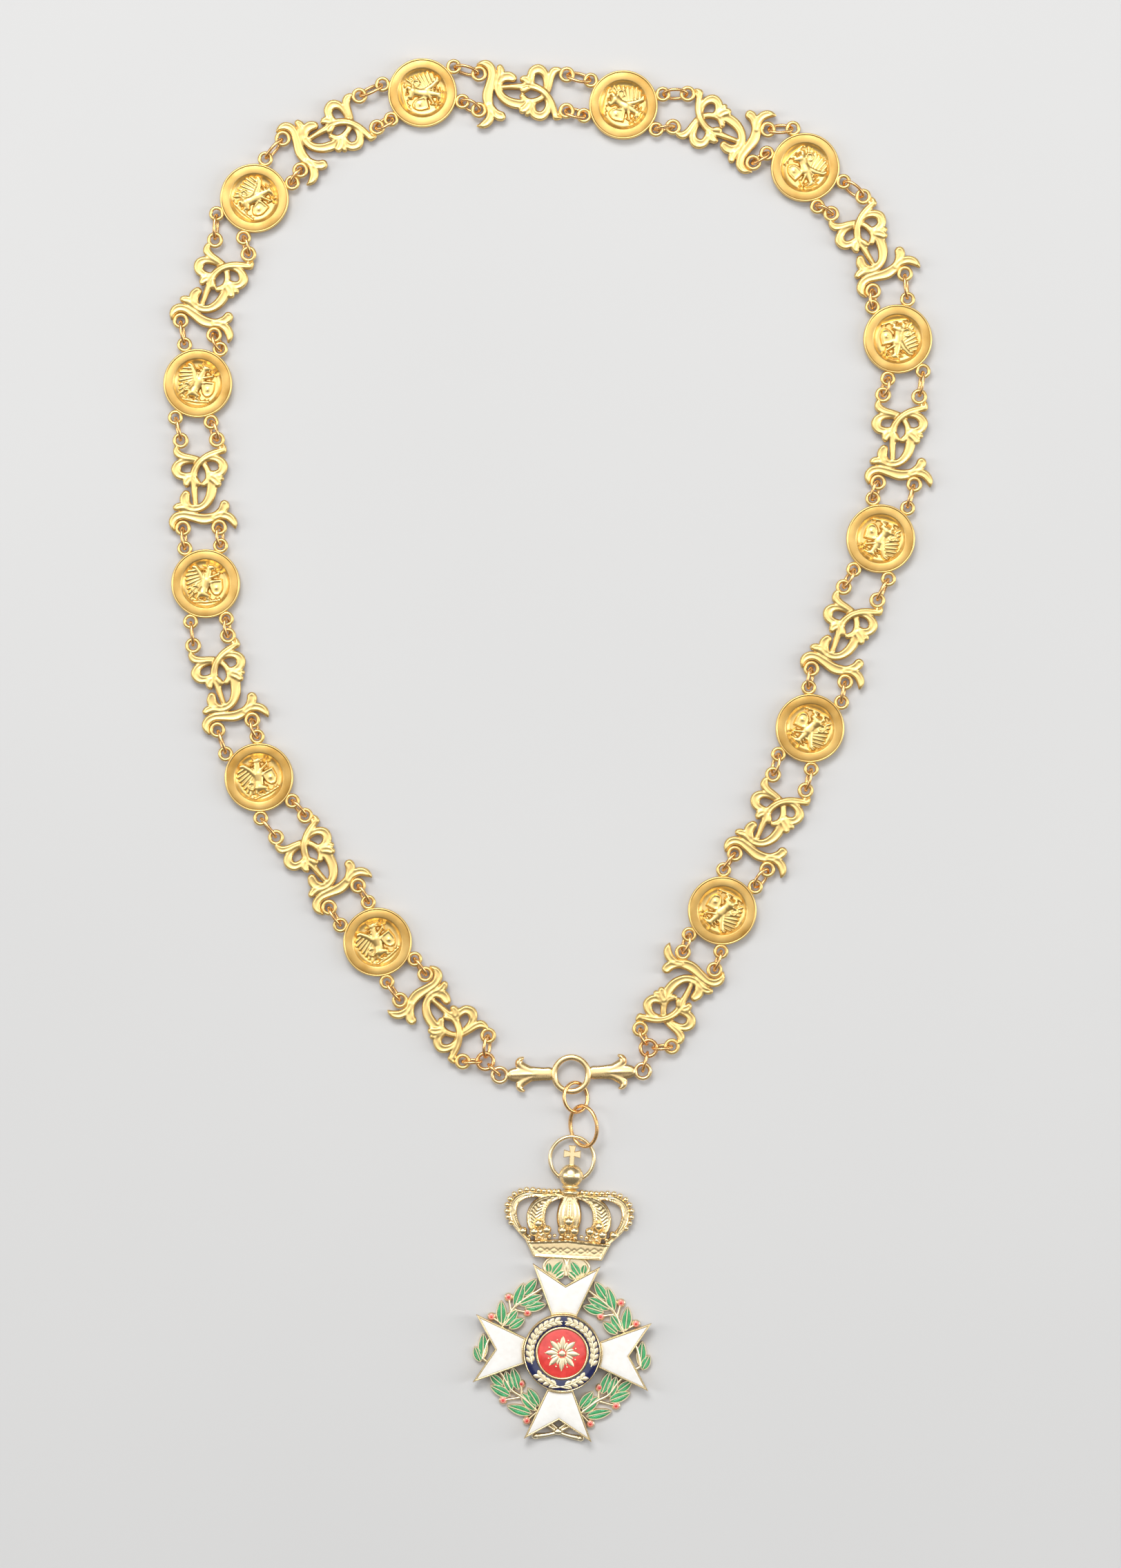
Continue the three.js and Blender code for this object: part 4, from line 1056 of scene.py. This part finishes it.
def bead_rows():
    """Fine beads along the outer edge of the inner arches and down the middle one."""
    beads = []
    path = smooth_path(CROWN_ARCHES["inner"][:-2], ARCH_BEADS["step"])
    ahead = np.gradient(path[:, :2], axis=0)
    ahead /= np.linalg.norm(ahead, axis=1, keepdims=True)
    for (x, y, half, _), (dx, dy) in zip(path, ahead):
        if half > ARCH_BEADS["least_half"]:
            out = ARCH_BEADS["inset"] - half
            beads.append((x + dy * out, y - dx * out, ARCH_BEADS["z"], ARCH_BEADS["r"]))
    places = np.arange(EGG_BEADS["first"], EGG_BEADS["last"], EGG_BEADS["step"])
    beads += [(0.0, y, EGG_BEADS["z"], EGG_BEADS["r"]) for y in places]
    return both_sides([tuple(float(v) for v in bead) for bead in beads])


arch_pearls = [(x, y, ARCH_PEARL["z"], ARCH_PEARL["r"]) for x, y in ARCH_PEARLS]
pearls = both_sides(CROWN_BALLS + CIRCLET_PEARLS + arch_pearls)
place_balls("crown_pearls", pearls + bead_rows(), crown_gold, "gold")

# The orb, flattened front to back, its wire belt that keeps off the table, and under it two rolls: x, y,
# z and half sizes, mm
ORB = dict(y=59.1, r=4.0, deep=3.58, z=3.78, belt=0.26, belt_drop=0.2, off_table=0.03)
COLLAR_ROLLS = [(0.0, 53.5, 3.5, 3.1, 1.25, 2.5), (0.0, 55.4, 3.6, 2.85, 0.95, 2.4)]
ORB_CROSS = dict(y=66.4, arm=2.85, end=1.3, waist=0.8, foot=4.3, bottom=3.2, top=4.6)
BAIL = dict(y=64.8, r=7.35, wire=0.62, z=2.5)


def inset(corners, distance):
    """A counter-clockwise outline of straight sides, moved inward."""
    moved = []
    before, after = corners[-1:] + corners[:-1], corners[1:] + corners[:1]
    for (x0, y0), (x1, y1), (x2, y2) in zip(before, corners, after):
        a, b = math.dist((x0, y0), (x1, y1)), math.dist((x1, y1), (x2, y2))
        nx0, ny0, nx1, ny1 = -(y1 - y0) / a, (x1 - x0) / a, -(y2 - y1) / b, (x2 - x1) / b
        share = distance / (1 + nx0 * nx1 + ny0 * ny1)
        moved.append((x1 + share * (nx0 + nx1), y1 + share * (ny0 + ny1)))
    return moved


def plate(corners, steps):
    """A closed plate in steps of how far the outline moves inward, the height there and the depth, the
    painted shade.
    """
    sections = [[(x, y, z) for x, y in inset(corners, move)] for move, z, _ in steps]
    points, faces, _ = loft(sections, [0.0] * len(corners))
    return points, faces, [depth for *_, depth in steps for _ in corners]


def small_cross():
    """The cross on the orb, with arms that widen toward their ends and a longer foot."""
    y, arm, end, waist, foot = (ORB_CROSS[key] for key in ("y", "arm", "end", "waist", "foot"))
    side = [(end, arm), (waist, waist), (arm, end), (arm, -end), (waist, -waist), (waist, -foot)]
    corners = [(u, v + y) for u, v in side] + [(-u, v + y) for u, v in reversed(side)]
    bottom, top = ORB_CROSS["bottom"], ORB_CROSS["top"]
    # Its depths paint shade, heaviest at the foot of its sides
    return plate(corners[::-1], [
        (0.1, bottom, 0.5), (0.0, bottom + 0.15, 0.4), (0.0, top - 0.25, 0.1), (0.18, top, 0.0),
    ])


def orb_shells():
    """The small cross, the bail and the orb's belt, which stands upright and is flattened as the orb is."""
    bail = wire_ring(0, BAIL["y"], BAIL["z"], BAIL["r"], BAIL["wire"], 64, 12)
    points, faces, depths = wire_ring(0, 0, 0, ORB["r"], ORB["belt"], 48, 8)
    flat = (ORB["z"] - ORB["off_table"]) / (ORB["r"] + ORB["belt"])
    belt = [(x, z + ORB["y"] - ORB["belt_drop"], flat * y + ORB["z"]) for x, y, z in points]
    return [small_cross(), bail, (belt, faces, depths)]


place_on_badge("orb_cross", orb_shells(), crown_gold)
orb_balls = [(0.0, ORB["y"], ORB["z"], ORB["r"], ORB["r"], ORB["deep"])] + COLLAR_ROLLS
place_balls("orb", orb_balls, crown_gold, "gold")


# Wreath
# A wreath of laurel sawn and chased from gilt plate: every leaf is a small tray with a mid-rib, filled
# with see-through green enamel, and the berries are red enamel in gold cups.

WREATH = dict(top=1.95, rim=0.42, rib=0.18, half=1.8, length=8.0)

# The right half's leaves: x and y of each one's base and of its tip, mm
WREATH_LEAVES = [
    (14.0, 18.0, 9.7, 24.0), (16.6, 14.3, 14.0, 22.4), (15.2, 15.0, 7.5, 18.6), (13.3, 13.9, 6.1, 15.7),
    (20.7, 8.0, 21.2, 16.2), (19.8, 7.8, 15.5, 13.4), (18.2, 7.0, 13.0, 10.7), (26.3, -3.6, 26.6, 5.0),
    (27.0, -4.7, 29.3, 0.4), (13.8, -13.5, 16.4, -5.8), (16.5, -14.3, 18.5, -7.2), (19.1, -12.3, 23.8, -8.6),
    (16.4, -15.6, 23.5, -12.4), (6.8, -18.6, 11.0, -12.6), (7.8, -20.0, 13.3, -14.2),
    (9.0, -21.2, 17.6, -18.9), (4.7, 25.6, 1.3, 30.5), (5.7, 26.3, 6.1, 29.7), (3.3, 24.6, 0.5, 27.0),
]

# Its berries, with the foot of each one's stalk
WREATH_BERRIES = [
    (18.8, 17.4, 17.8, 12.5), (12.2, 12.5, 16.6, 13.4), (24.2, 10.6, 20.4, 8.2), (13.1, -11.3, 12.8, -15.5),
    (18.9, -17.1, 12.8, -15.8), (10.6, -23.5, 7.2, -20.3),
]

# Its stems as centre lines of x, y, half width and lift: the branch in two stretches, the tie's end at
# the foot and the two shoots at the top
WREATH_STEMS = [
    [(0.0, -26.0, 0.55, 0.0), (7.0, -20.4, 0.55, 0.0), (12.3, -16.0, 0.55, 0.0), (16.4, -13.4, 0.5, 0.0),
     (20.3, -8.0, 0.5, 0.0), (26.3, -3.6, 0.5, 0.0)],
    [(26.3, -3.6, 0.5, 0.0), (24.5, 3.0, 0.5, 0.0), (20.0, 8.0, 0.5, 0.0), (16.9, 13.9, 0.5, 0.0),
     (13.4, 17.0, 0.5, 0.0), (8.0, 20.8, 0.5, 0.0), (0.4, 26.6, 0.5, 0.0)],
    [(-4.2, -24.4, 0.45, 0.1), (0.0, -26.8, 0.6, 0.1), (4.0, -28.0, 0.7, 0.1), (7.2, -28.5, 1.0, 0.1)],
    [(3.0, 24.0, 0.4, 0.1), (5.9, 25.5, 0.4, 0.1), (7.5, 27.5, 0.42, 0.1), (7.2, 29.6, 0.45, 0.1),
     (5.8, 31.0, 0.45, 0.1), (3.9, 31.6, 0.45, 0.1)],
    [(0.2, 25.6, 0.35, 0.1), (0.45, 27.4, 0.4, 0.15), (0.3, 29.4, 0.5, 0.15), (0.9, 31.4, 0.5, 0.1)],
]

# Half of the plate behind the shoots, which the crown is soldered to
LOBE_FLOOR = [(2.6, 24.0), (5.9, 25.6), (7.4, 27.6), (7.1, 29.6), (5.8, 31.0), (0.0, 31.4)]


def leaf_halves():
    """How half a leaf's width runs from its base to its tip: share of the length and half width, mm."""
    rows = []
    for i in range(13):
        t = i / 12
        rows.append((t, max(0.06, WREATH["half"] * math.sin(math.pi * t**0.9) ** 0.66)))
    return rows


def leaf_gold():
    """A leaf's tray along +Y: a raised edge, a sunk floor and a rib up the middle."""
    top = WREATH["top"]
    sections = []
    for t, half in leaf_halves():
        share = min(1, half / 0.8)
        rim, rib = WREATH["rim"] * share, WREATH["rib"] * share
        right = [
            (half, 0.0), (half, top - 0.2), (half - 0.3 * rim, top), (half - 0.9 * rim, top),
            (half - 1.15 * rim, top - 0.4), (rib * 1.6, top - 0.4), (rib, top - 0.02), (0.0, top),
        ]
        across = right + [(-u, v) for u, v in reversed(right[:-1])]
        sections.append([(u, t * WREATH["length"], v) for u, v in across])
    # Painted shade: heaviest at the foot of the sides, partial on the sunk floor, none on the rim and the rib
    depths = [0.9, 0.2, 0, 0, 0.6, 0.6, 0, 0, 0, 0.6, 0.6, 0, 0, 0.2, 0.9]
    return mesh_of("leaf_gold", [loft(sections, depths)], 50)


def leaf_enamel():
    """The enamel of both halves of a leaf; its depth column tells how far along the slanting ribs lie."""
    top = WREATH["top"]
    shells = []
    for side in (-1, 1):
        sections, depths = [], []
        for t, half in leaf_halves()[1:-1]:
            share = min(1, half / 0.8)
            inner, outer = 1.5 * WREATH["rib"] * share, half - 1.1 * WREATH["rim"] * share
            width = outer - inner
            across = [
                (inner, top - 0.6), (inner, top - 0.16), (inner + 0.25 * width, top - 0.03),
                (inner + 0.6 * width, top - 0.02), (outer, top - 0.16), (outer, top - 0.6),
            ]
            sections.append([(side * u, t * WREATH["length"], v) for u, v in across])
            depths += [t * WREATH["length"] - 0.8 * u for u, _ in across]
        points, faces, _ = loft(sections, [0.0] * 6)
        shells.append((points, faces, depths))
    return mesh_of("leaf_enamel", shells, 50)


def leaf_places():
    """The leaves of both halves, each a little lower than the last where they overlap."""
    places, turns, sizes = [], [], []
    mirrored = [(-x, y, -tip_x, tip_y) for x, y, tip_x, tip_y in WREATH_LEAVES]
    for i, (x, y, tip_x, tip_y) in enumerate(WREATH_LEAVES + mirrored):
        length = math.dist((x, y), (tip_x, tip_y))
        places.append((x * MM, y * MM, 0.0))
        turns.append((0, 0, math.atan2(tip_y - y, tip_x - x) - math.pi / 2))
        sizes.append((min(1, 0.45 + 0.075 * length), length / WREATH["length"], 1 - 0.018 * (i % 4)))
    return places, turns, sizes


def plain_band(rows, bottom, top, step=0.8):
    """A round-topped band along a centre line of x, y, half width and lift."""
    path = smooth_path(rows, step)
    ahead = np.gradient(path[:, :2], axis=0)
    ahead /= np.linalg.norm(ahead, axis=1, keepdims=True)
    turns = [math.pi * i / 5 for i in range(6)]
    sections = []
    for (x, y, half, lift), (dx, dy) in zip(path, ahead):
        arch = [(half * math.cos(a), top + lift - half * (1 - math.sin(a)) * 0.7) for a in turns]
        profile = [(half, bottom), *arch, (-half, bottom)]
        sections.append([(x + dy * out, y - dx * out, z) for out, z in profile])
    # Painted shade down the band's sides, heaviest at its foot
    return loft(sections, [0.9, 0.4, 0.1, 0.0, 0.0, 0.1, 0.4, 0.9])


def wreath_bands():
    """The stems, the berries' stalks and the plate behind the shoots."""
    top = WREATH["top"]
    stalks = [
        [(foot_x, foot_y, 0.38, -0.15), ((x + foot_x) / 2, (y + foot_y) / 2, 0.34, -0.15), (x, y, 0.34, -0.2)]
        for x, y, foot_x, foot_y in WREATH_BERRIES
    ]
    shells = []
    for rows in WREATH_STEMS + stalks:
        for sign in (1, -1):
            shells.append(plain_band([(sign * x, y, half, lift) for x, y, half, lift in rows], 0.2, top))
    corners = LOBE_FLOOR + [(-x, y) for x, y in reversed(LOBE_FLOOR[:-1])] + [(0.0, 26.0)]
    # The plate's depths paint shade, heaviest at its foot
    shells.append(plate(corners, [(0, 0.2, 0.6), (0, 1.55, 0.3), (0.1, 1.65, 0.15)]))
    return shells


# Gilt plate, sawn out and chased: thin pale edges round the enamel that shine white, with only a light
# painted shade below
wreath_gold = gilt_metal("chased_gilt_plate", "#fff0cc", "#c49a5c", 0.32, 0.25, 0.0015)
place_copies("leaf_trays", leaf_gold(), wreath_gold, "gold", *leaf_places(), ["wreath"])
place_on_badge("wreath_stems", wreath_bands(), wreath_gold)


# What all the enamel shares: the size of its clouds, and the size and height of the waves in its skin, mm
ENAMEL = dict(cloud=2.2, wave=1.4, wave_height=0.04)


def enamel(name, shade, deep, rib=None, rib_height=0.0):
    """Fired glass with a smooth wavy skin, darker where it lies thick.

    rib is the spacing in mm of the ribs cut in the metal below, which show through."""
    material, tree = new_material(name)
    place = add(tree, "ShaderNodeTexCoord").outputs["Object"]
    cloud = add(tree, "ShaderNodeTexNoise", {
        "Vector": place, "Scale": 1 / (ENAMEL["cloud"] * MM), "Detail": 2.0,
    })
    factor = add(tree, "ShaderNodeMapRange", {
        "Value": cloud.outputs["Fac"], "From Min": 0.35, "From Max": 0.65, "To Min": 0.0, "To Max": 0.7,
    }).outputs[0]
    wave = add(tree, "ShaderNodeTexNoise", {
        "Vector": place, "Scale": 1 / (ENAMEL["wave"] * MM), "Detail": 1.0,
    })
    bump = add(tree, "ShaderNodeBump", {
        "Height": wave.outputs["Fac"], "Distance": ENAMEL["wave_height"] * MM,
    })
    if rib:
        along = add(tree, "ShaderNodeAttribute", attribute_name="depth").outputs["Fac"]
        turn = add(tree, "ShaderNodeMath", {0: along, 1: 2 * math.pi / rib}, operation="MULTIPLY")
        ridge = add(tree, "ShaderNodeMath", {0: turn.outputs[0]}, operation="SINE")
        line = add(tree, "ShaderNodeMapRange", {
            "Value": ridge.outputs[0], "From Min": 0.1, "From Max": 0.9, "To Min": 0.0, "To Max": 0.75,
        })
        darker = add(tree, "ShaderNodeMath", {0: factor, 1: line.outputs[0]}, operation="MAXIMUM")
        factor = darker.outputs[0]
        bump = add(tree, "ShaderNodeBump", {
            "Height": ridge.outputs[0], "Distance": rib_height * MM, "Normal": bump.outputs[0],
        })
    base = add(tree, "ShaderNodeMix", {
        "Factor": factor, 6: linear(shade), 7: linear(deep),
    }, data_type="RGBA")
    shader = add(tree, "ShaderNodeBsdfPrincipled", {
        "Base Color": base.outputs[2], "Roughness": 0.16, "IOR": 1.52, "Normal": bump.outputs[0],
        "Coat Weight": 0.6, "Coat Roughness": 0.05,
    })
    add(tree, "ShaderNodeOutputMaterial", {"Surface": shader.outputs[0]})
    return material


# See-through green glass fired over slanting ribs: bright leaf green that flashes between the dark lines.
# The real ribs are finer, and these are as fine as shows.
green_glass = enamel("green_enamel_over_ribs", "#4cc47c", "#16783f", 0.62, 0.03)
place_copies("leaf_enamel_fill", leaf_enamel(), green_glass, "green_enamel", *leaf_places())

# A berry's balls: height of the middle, half width and half height, mm
BERRY = dict(cup=(1.1, 1.5, 0.8), enamel=(1.6, 1.12, 0.4), heart=(1.93, 0.48, 0.22))

# The knots of the tie and of its two ends
TIE_KNOTS = [
    (0.0, -26.6, 1.6, 1.5, 1.2, 1.0), (7.6, -28.5, 1.4, 1.25, 1.05, 1.0), (-7.6, -28.5, 1.4, 1.25, 1.05, 1.0),
]


def berry_balls(part):
    """One ball in each berry of both halves."""
    z, wide, tall = BERRY[part]
    places = WREATH_BERRIES + [(-x, y, 0, 0) for x, y, *_ in WREATH_BERRIES]
    return [(x, y, z, wide, wide, tall) for x, y, *_ in places]


place_balls("berry_cups", berry_balls("cup") + TIE_KNOTS, wreath_gold, "gold")

# Opaque red glass, ground level and fired again: an even shine, coral where thick and rose where thin
red_glass = enamel("coral_enamel", "#ec4a44", "#d03430")
rose_glass = enamel("rose_enamel", "#f3a594", "#e58673")
place_balls("berry_enamel", berry_balls("enamel"), rose_glass, "red_enamel")
place_balls("berry_hearts", berry_balls("heart"), red_glass, "red_enamel")


# Cross
# An eight-pointed cross of four arms, struck in gilt metal with a narrow raised edge and filled with
# opaque white enamel that is polished slightly domed.

CROSS = dict(tip=29.3, tip_half=11.3, notch=22.4, waist_half=4.25, bottom=2.5, top=5.0, edge=0.52)
HUB = dict(r=13.0, top=4.25)  # the round middle that the boss sits on, where the arms begin


def arm_outline():
    """The top arm, counter-clockwise, its foot following the boss."""
    reach, half = HUB["r"], CROSS["waist_half"]
    foot = [math.asin(half * side / reach) for side in (-1, -0.5, 0, 0.5, 1)]
    return [(reach * math.sin(a), reach * math.cos(a)) for a in foot] + [
        (CROSS["tip_half"], CROSS["tip"]), (0.0, CROSS["notch"]), (-CROSS["tip_half"], CROSS["tip"]),
    ]


def quarter_turned(shell, quarter):
    """A shell turned clockwise about the badge's middle by so many quarters."""
    points, faces, depths = shell
    c, s = [(1, 0), (0, -1), (-1, 0), (0, 1)][quarter]
    return [(c * x - s * y, s * x + c * y, z) for x, y, z in points], faces, depths


bottom, top, edge = CROSS["bottom"], CROSS["top"], CROSS["edge"]
# Steps of inset, height and painted shade: shade at the foot of the outer wall and down the inner wall to the
# enamel
tray = plate(arm_outline(), [
    (0.12, bottom, 0.9), (0.0, bottom + 0.12, 0.7), (0.0, top - 0.2, 0.2), (0.1, top - 0.03, 0.0),
    (0.2, top, 0.0), (0.36, top, 0.0), (edge - 0.04, top - 0.08, 0.1), (edge, top - 0.2, 0.4),
    (edge + 0.05, top - 0.8, 0.9),
])
# The hub's depths paint shade, heavier on its side
hub = lathe([
    (0.0, HUB["top"], 0.5), (HUB["r"], HUB["top"], 0.5), (HUB["r"], bottom, 0.7), (0.0, bottom, 0.7),
], 64)

# Struck metal, gilt and polished on its edges: narrow mirror-bright lines that frame the enamel, with
# painted shade down its walls and under the boss
cross_gold = gilt_metal("struck_gilt", "#f7e0ae", "#9a7038", 0.26, 0.3, 0.0012)
cross_shells = [quarter_turned(tray, i) for i in range(4)] + [hub]
place_on_badge("cross_trays", cross_shells, cross_gold, ["cross_body"])
filling = plate(arm_outline(), [
    (edge + 0.03, top - 0.7, 0.0), (edge + 0.03, top - 0.22, 0.0), (edge + 0.12, top - 0.12, 0.0),
    (edge + 0.35, top - 0.02, 0.0), (edge + 0.7, top + 0.06, 0.0), (edge + 1.2, top + 0.11, 0.0),
    (edge + 1.6, top + 0.12, 0.0),
])

# Opaque white glass, ground and fired to a gloss: a wet shine over a white that is warm and nearly even
white_glass = enamel("white_enamel", "#f5f3ef", "#eeebe5")
for quarter, arm_name in enumerate(("top", "right", "bottom", "left")):
    arm = [quarter_turned(filling, quarter)]
    place_on_badge(f"white_{arm_name}", arm, white_glass, [f"enamel_arm_{arm_name}"], 40)


# Centre
# A round boss with two raised rims. The outer channel holds navy enamel with a gilt wreath laid in,
# the middle coral-red enamel with a gilt rosette.

# Radius, height and depth from the middle out: the inner rim, the channel, the outer rim and the back, mm;
# the depth is painted shade on the walls, in the channel and under the back
BOSS_PROFILE = [
    (0.0, 5.6, 0.5), (8.02, 5.6, 0.7), (8.06, 6.5, 0.4), (8.16, 6.76, 0.1), (8.3, 6.85, 0.0),
    (8.62, 6.85, 0.0), (8.76, 6.76, 0.1), (8.86, 6.5, 0.4), (8.9, 5.6, 0.7), (12.4, 5.6, 0.7),
    (12.44, 6.5, 0.4), (12.52, 6.74, 0.1), (12.64, 6.8, 0.0), (12.78, 6.72, 0.0), (12.86, 6.5, 0.1),
    (12.88, 4.5, 0.6), (12.7, 4.3, 0.8), (0.0, 4.3, 0.8),
]

# The enamels' profiles: radius and height round the navy ring, and the disc's with depth as above
NAVY_PROFILE = [
    (8.94, 5.7), (8.94, 6.32), (9.25, 6.42), (10.65, 6.46), (12.05, 6.42), (12.36, 6.32), (12.36, 5.7),
]
DISC_PROFILE = [
    (0.0, 6.66, 0), (4.0, 6.64, 0), (6.6, 6.58, 0), (7.6, 6.48, 0), (8.0, 6.36, 0), (8.0, 5.7, 0),
    (0.0, 5.7, 0),
]


def turned_ring(profile, sides):
    """A ring turned from a closed profile of radius and height, clear of the axis."""
    sections = []
    for i in range(sides):
        turn = 2 * math.pi * i / sides
        sections.append([(r * math.cos(turn), r * math.sin(turn), z) for r, z in profile])
    return loft(sections, [0.0] * len(profile), True)


def place_turned(name, shell, material, node):
    """One turned piece of the centre."""
    place_on_badge(name, [shell], material, [node], 40)


place_turned("boss", lathe(BOSS_PROFILE, 120), cross_gold, "centre_boss")

# Dark blue glass, nearly black in the shade, with a wet gloss
navy_glass = enamel("navy_enamel", "#1e2659", "#12173f")
place_turned("navy_ring", turned_ring(NAVY_PROFILE, 120), navy_glass, "centre_ring_blue")
place_turned("red_disc", lathe(DISC_PROFILE, 96), red_glass, "centre_disc_red")

# The laurel laid in the navy ring: its circle, a leaf's size and height, mm; then the first and last leaf
# pair, the step from one to the next, the gap above the crossed sprigs and how far the leaves splay, degrees
LAUREL = dict(r=10.65, length=2.6, half=0.78, z=6.42, first=-82, last=84, step=10.4, gap=(-46, -24), splay=28)
LAUREL_STEM = dict(half=0.24, bottom=6.4, top=6.7)


def sprig_leaf():
    """A small solid leaf along +Y."""
    across = [(1, 0.0), (0.4, 0.2), (0, 0.14), (-0.4, 0.2), (-1, 0.0)]
    sections = []
    for i in range(7):
        t = i / 6
        half = max(0.05, LAUREL["half"] * math.sin(math.pi * t**0.9) ** 0.8)
        sections.append([(share * half, t * LAUREL["length"], z) for share, z in across])
    # Painted shade on the leaf's edges and, lighter, in its middle
    return mesh_of("sprig_leaf", [loft(sections, [0.6, 0.0, 0.3, 0.0, 0.6])], 50)


def round_middle(r, way, z):
    """A place on a circle round the badge's middle, in metres."""
    return (r * math.cos(way) * MM, r * math.sin(way) * MM, z * MM)


def laurel_places():
    """Leaf pairs that run up both sides of the navy ring, with a gap above the sprigs crossed at its foot."""
    places, turns = [], []
    for side in (1, -1):
        for angle in np.arange(LAUREL["first"], LAUREL["last"], LAUREL["step"]):
            if LAUREL["gap"][0] < angle < LAUREL["gap"][1]:
                continue
            way = math.radians(angle if side == 1 else 180 - angle)
            for splay in (-LAUREL["splay"], LAUREL["splay"]):
                places.append(round_middle(LAUREL["r"], way, LAUREL["z"]))
                turns.append((0, 0, way + side * math.radians(90 + splay) - math.pi / 2))
    return places, turns


def ring_stem(start, stop, side, outer=0.0):
    """A thin stem along the navy ring between two angles in degrees, its foot drawn outward."""
    rows = []
    for angle in np.linspace(start, stop, 9):
        way = math.radians(angle if side == 1 else 180 - angle)
        r = LAUREL["r"] + outer * ((stop - angle) / (stop - start)) ** 3
        rows.append((r * math.cos(way), r * math.sin(way), LAUREL_STEM["half"], 0.0))
    return plain_band(rows, LAUREL_STEM["bottom"], LAUREL_STEM["top"])


# Gilding with a frosted bloom: pale and soft, so that the leaves stand off the shining enamel, with a light
# painted shade on their edges and the stems' sides
pale_gold = gilt_metal("pale_frosted_gilt", "#fff1cc", "#d2b274", 0.38, 0.3, 0.002)
place_copies("ring_laurel", sprig_leaf(), pale_gold, "gold", *laurel_places())
stems = []
for sign in (1, -1):
    stems += [ring_stem(-104, -50, sign, 1.3), ring_stem(-22, 88, sign)]
place_on_badge("ring_stems", stems, pale_gold)

# A plain rosette on the disc, its petals in rows: how many, where the first one points, degrees, and how
# far out they start, their length and half width, mm
ROSETTE_PETALS = [
    dict(count=8, first=0.0, start=1.2, length=4.7, half=0.98),
    dict(count=8, first=22.5, start=1.4, length=2.8, half=0.62),
]
PETAL = dict(z=6.6, thick=1.5)  # height of its underside, and how much thicker it is than a laurel leaf
BUTTON = (0.0, 0.0, 6.68, 1.1, 1.1, 0.42)
PETAL_BEADS = dict(count=8, circle=4.8, z=6.66, r=0.34)


def rosette_petals():
    """The places, turns and sizes of the petals round the disc's middle."""
    places, turns, sizes = [], [], []
    for row in ROSETTE_PETALS:
        for i in range(row["count"]):
            way = math.radians(row["first"] + 360 * i / row["count"])
            places.append(round_middle(row["start"], way, PETAL["z"]))
            turns.append((0, 0, way - math.pi / 2))
            sizes.append((row["half"] / LAUREL["half"], row["length"] / LAUREL["length"], PETAL["thick"]))
    return places, turns, sizes


def rosette_beads():
    """A flat button in the middle and a bead beyond each short petal."""
    beads = [BUTTON]
    for i in range(PETAL_BEADS["count"]):
        way = 2 * math.pi * (i + 0.5) / PETAL_BEADS["count"]
        out = PETAL_BEADS["circle"]
        beads.append((out * math.cos(way), out * math.sin(way), PETAL_BEADS["z"], PETAL_BEADS["r"]))
    return beads


place_copies("disc_rosette", sprig_leaf(), pale_gold, "gold", *rosette_petals())
place_balls("rosette_beads", rosette_beads(), pale_gold, "gold")


# Floor, light and camera
# A pale floor under soft studio light, seen straight from above as the collar lies.

FLOOR_HALF = 4.0      # metres, and so is the size of its clouds
FLOOR_CLOUD = 0.25
FRAME_HEIGHT = 524.4  # mm of the collar's plane that the view takes in
CAMERA_HEIGHT = 1900.0
SENSOR = 36.0
VIEW_MIDDLE = (4.2, -11.5)


def floor_material():
    """Matt pale paper board with a faint cloudiness."""
    material, tree = new_material("pale_board")
    place = add(tree, "ShaderNodeTexCoord").outputs["Object"]
    cloud = add(tree, "ShaderNodeTexNoise", {"Vector": place, "Scale": 1 / FLOOR_CLOUD, "Detail": 3.0})
    tone = add(tree, "ShaderNodeMapRange", {"Value": cloud.outputs["Fac"], "To Min": 0.6, "To Max": 0.64})
    shader = add(tree, "ShaderNodeBsdfPrincipled", {"Base Color": tone.outputs[0], "Roughness": 0.8})
    add(tree, "ShaderNodeOutputMaterial", {"Surface": shader.outputs[0]})
    return material


def soft_light(name, x, y, z, width, height, power):
    """A rectangular lamp that faces the collar's middle, in metres and watts."""
    data = bpy.data.lights.new(name, "AREA")
    data.shape = "RECTANGLE"
    data.size, data.size_y, data.energy = width, height, power
    light = in_scene(name, data)
    light.location = (x, y, z)
    light.rotation_euler = (-light.location).to_track_quat("-Z", "Y").to_euler()


floor_mesh = bpy.data.meshes.new("floor")
floor_corners = [(i * FLOOR_HALF, j * FLOOR_HALF, 0) for i, j in ((-1, -1), (1, -1), (1, 1), (-1, 1))]
floor_mesh.from_pydata(floor_corners, [], [(0, 1, 2, 3)])
floor_mesh.materials.append(floor_material())
in_scene("floor", floor_mesh)

soft_light("ceiling_softbox", 0.0, 0.7, 2.45, 2.6, 2.6, 24)
soft_light("top_softbox", 0.0, 1.0, 2.3, 1.8, 1.2, 3)
soft_light("key_softbox", -0.35, 1.25, 1.9, 1.2, 0.7, 26)
soft_light("left_softbox", -1.6, 0.1, 1.2, 0.6, 1.4, 11)
soft_light("right_strip", 1.5, 0.0, 0.9, 0.5, 1.6, 13)

world = bpy.data.worlds.new("studio")
world.use_nodes = True
world.node_tree.nodes["Background"].inputs["Color"].default_value = linear("#e9e6e0")
world.node_tree.nodes["Background"].inputs["Strength"].default_value = 0.22
bpy.context.scene.world = world
bpy.context.scene.view_settings.view_transform = "Standard"

lens = bpy.data.cameras.new("camera")
lens.sensor_width = SENSOR
lens.lens = SENSOR * CAMERA_HEIGHT / FRAME_HEIGHT
camera = in_scene("camera", lens)
x, y, _ = in_frame(*VIEW_MIDDLE)
camera.location = (x, y, CAMERA_HEIGHT * MM)
bpy.context.scene.camera = camera
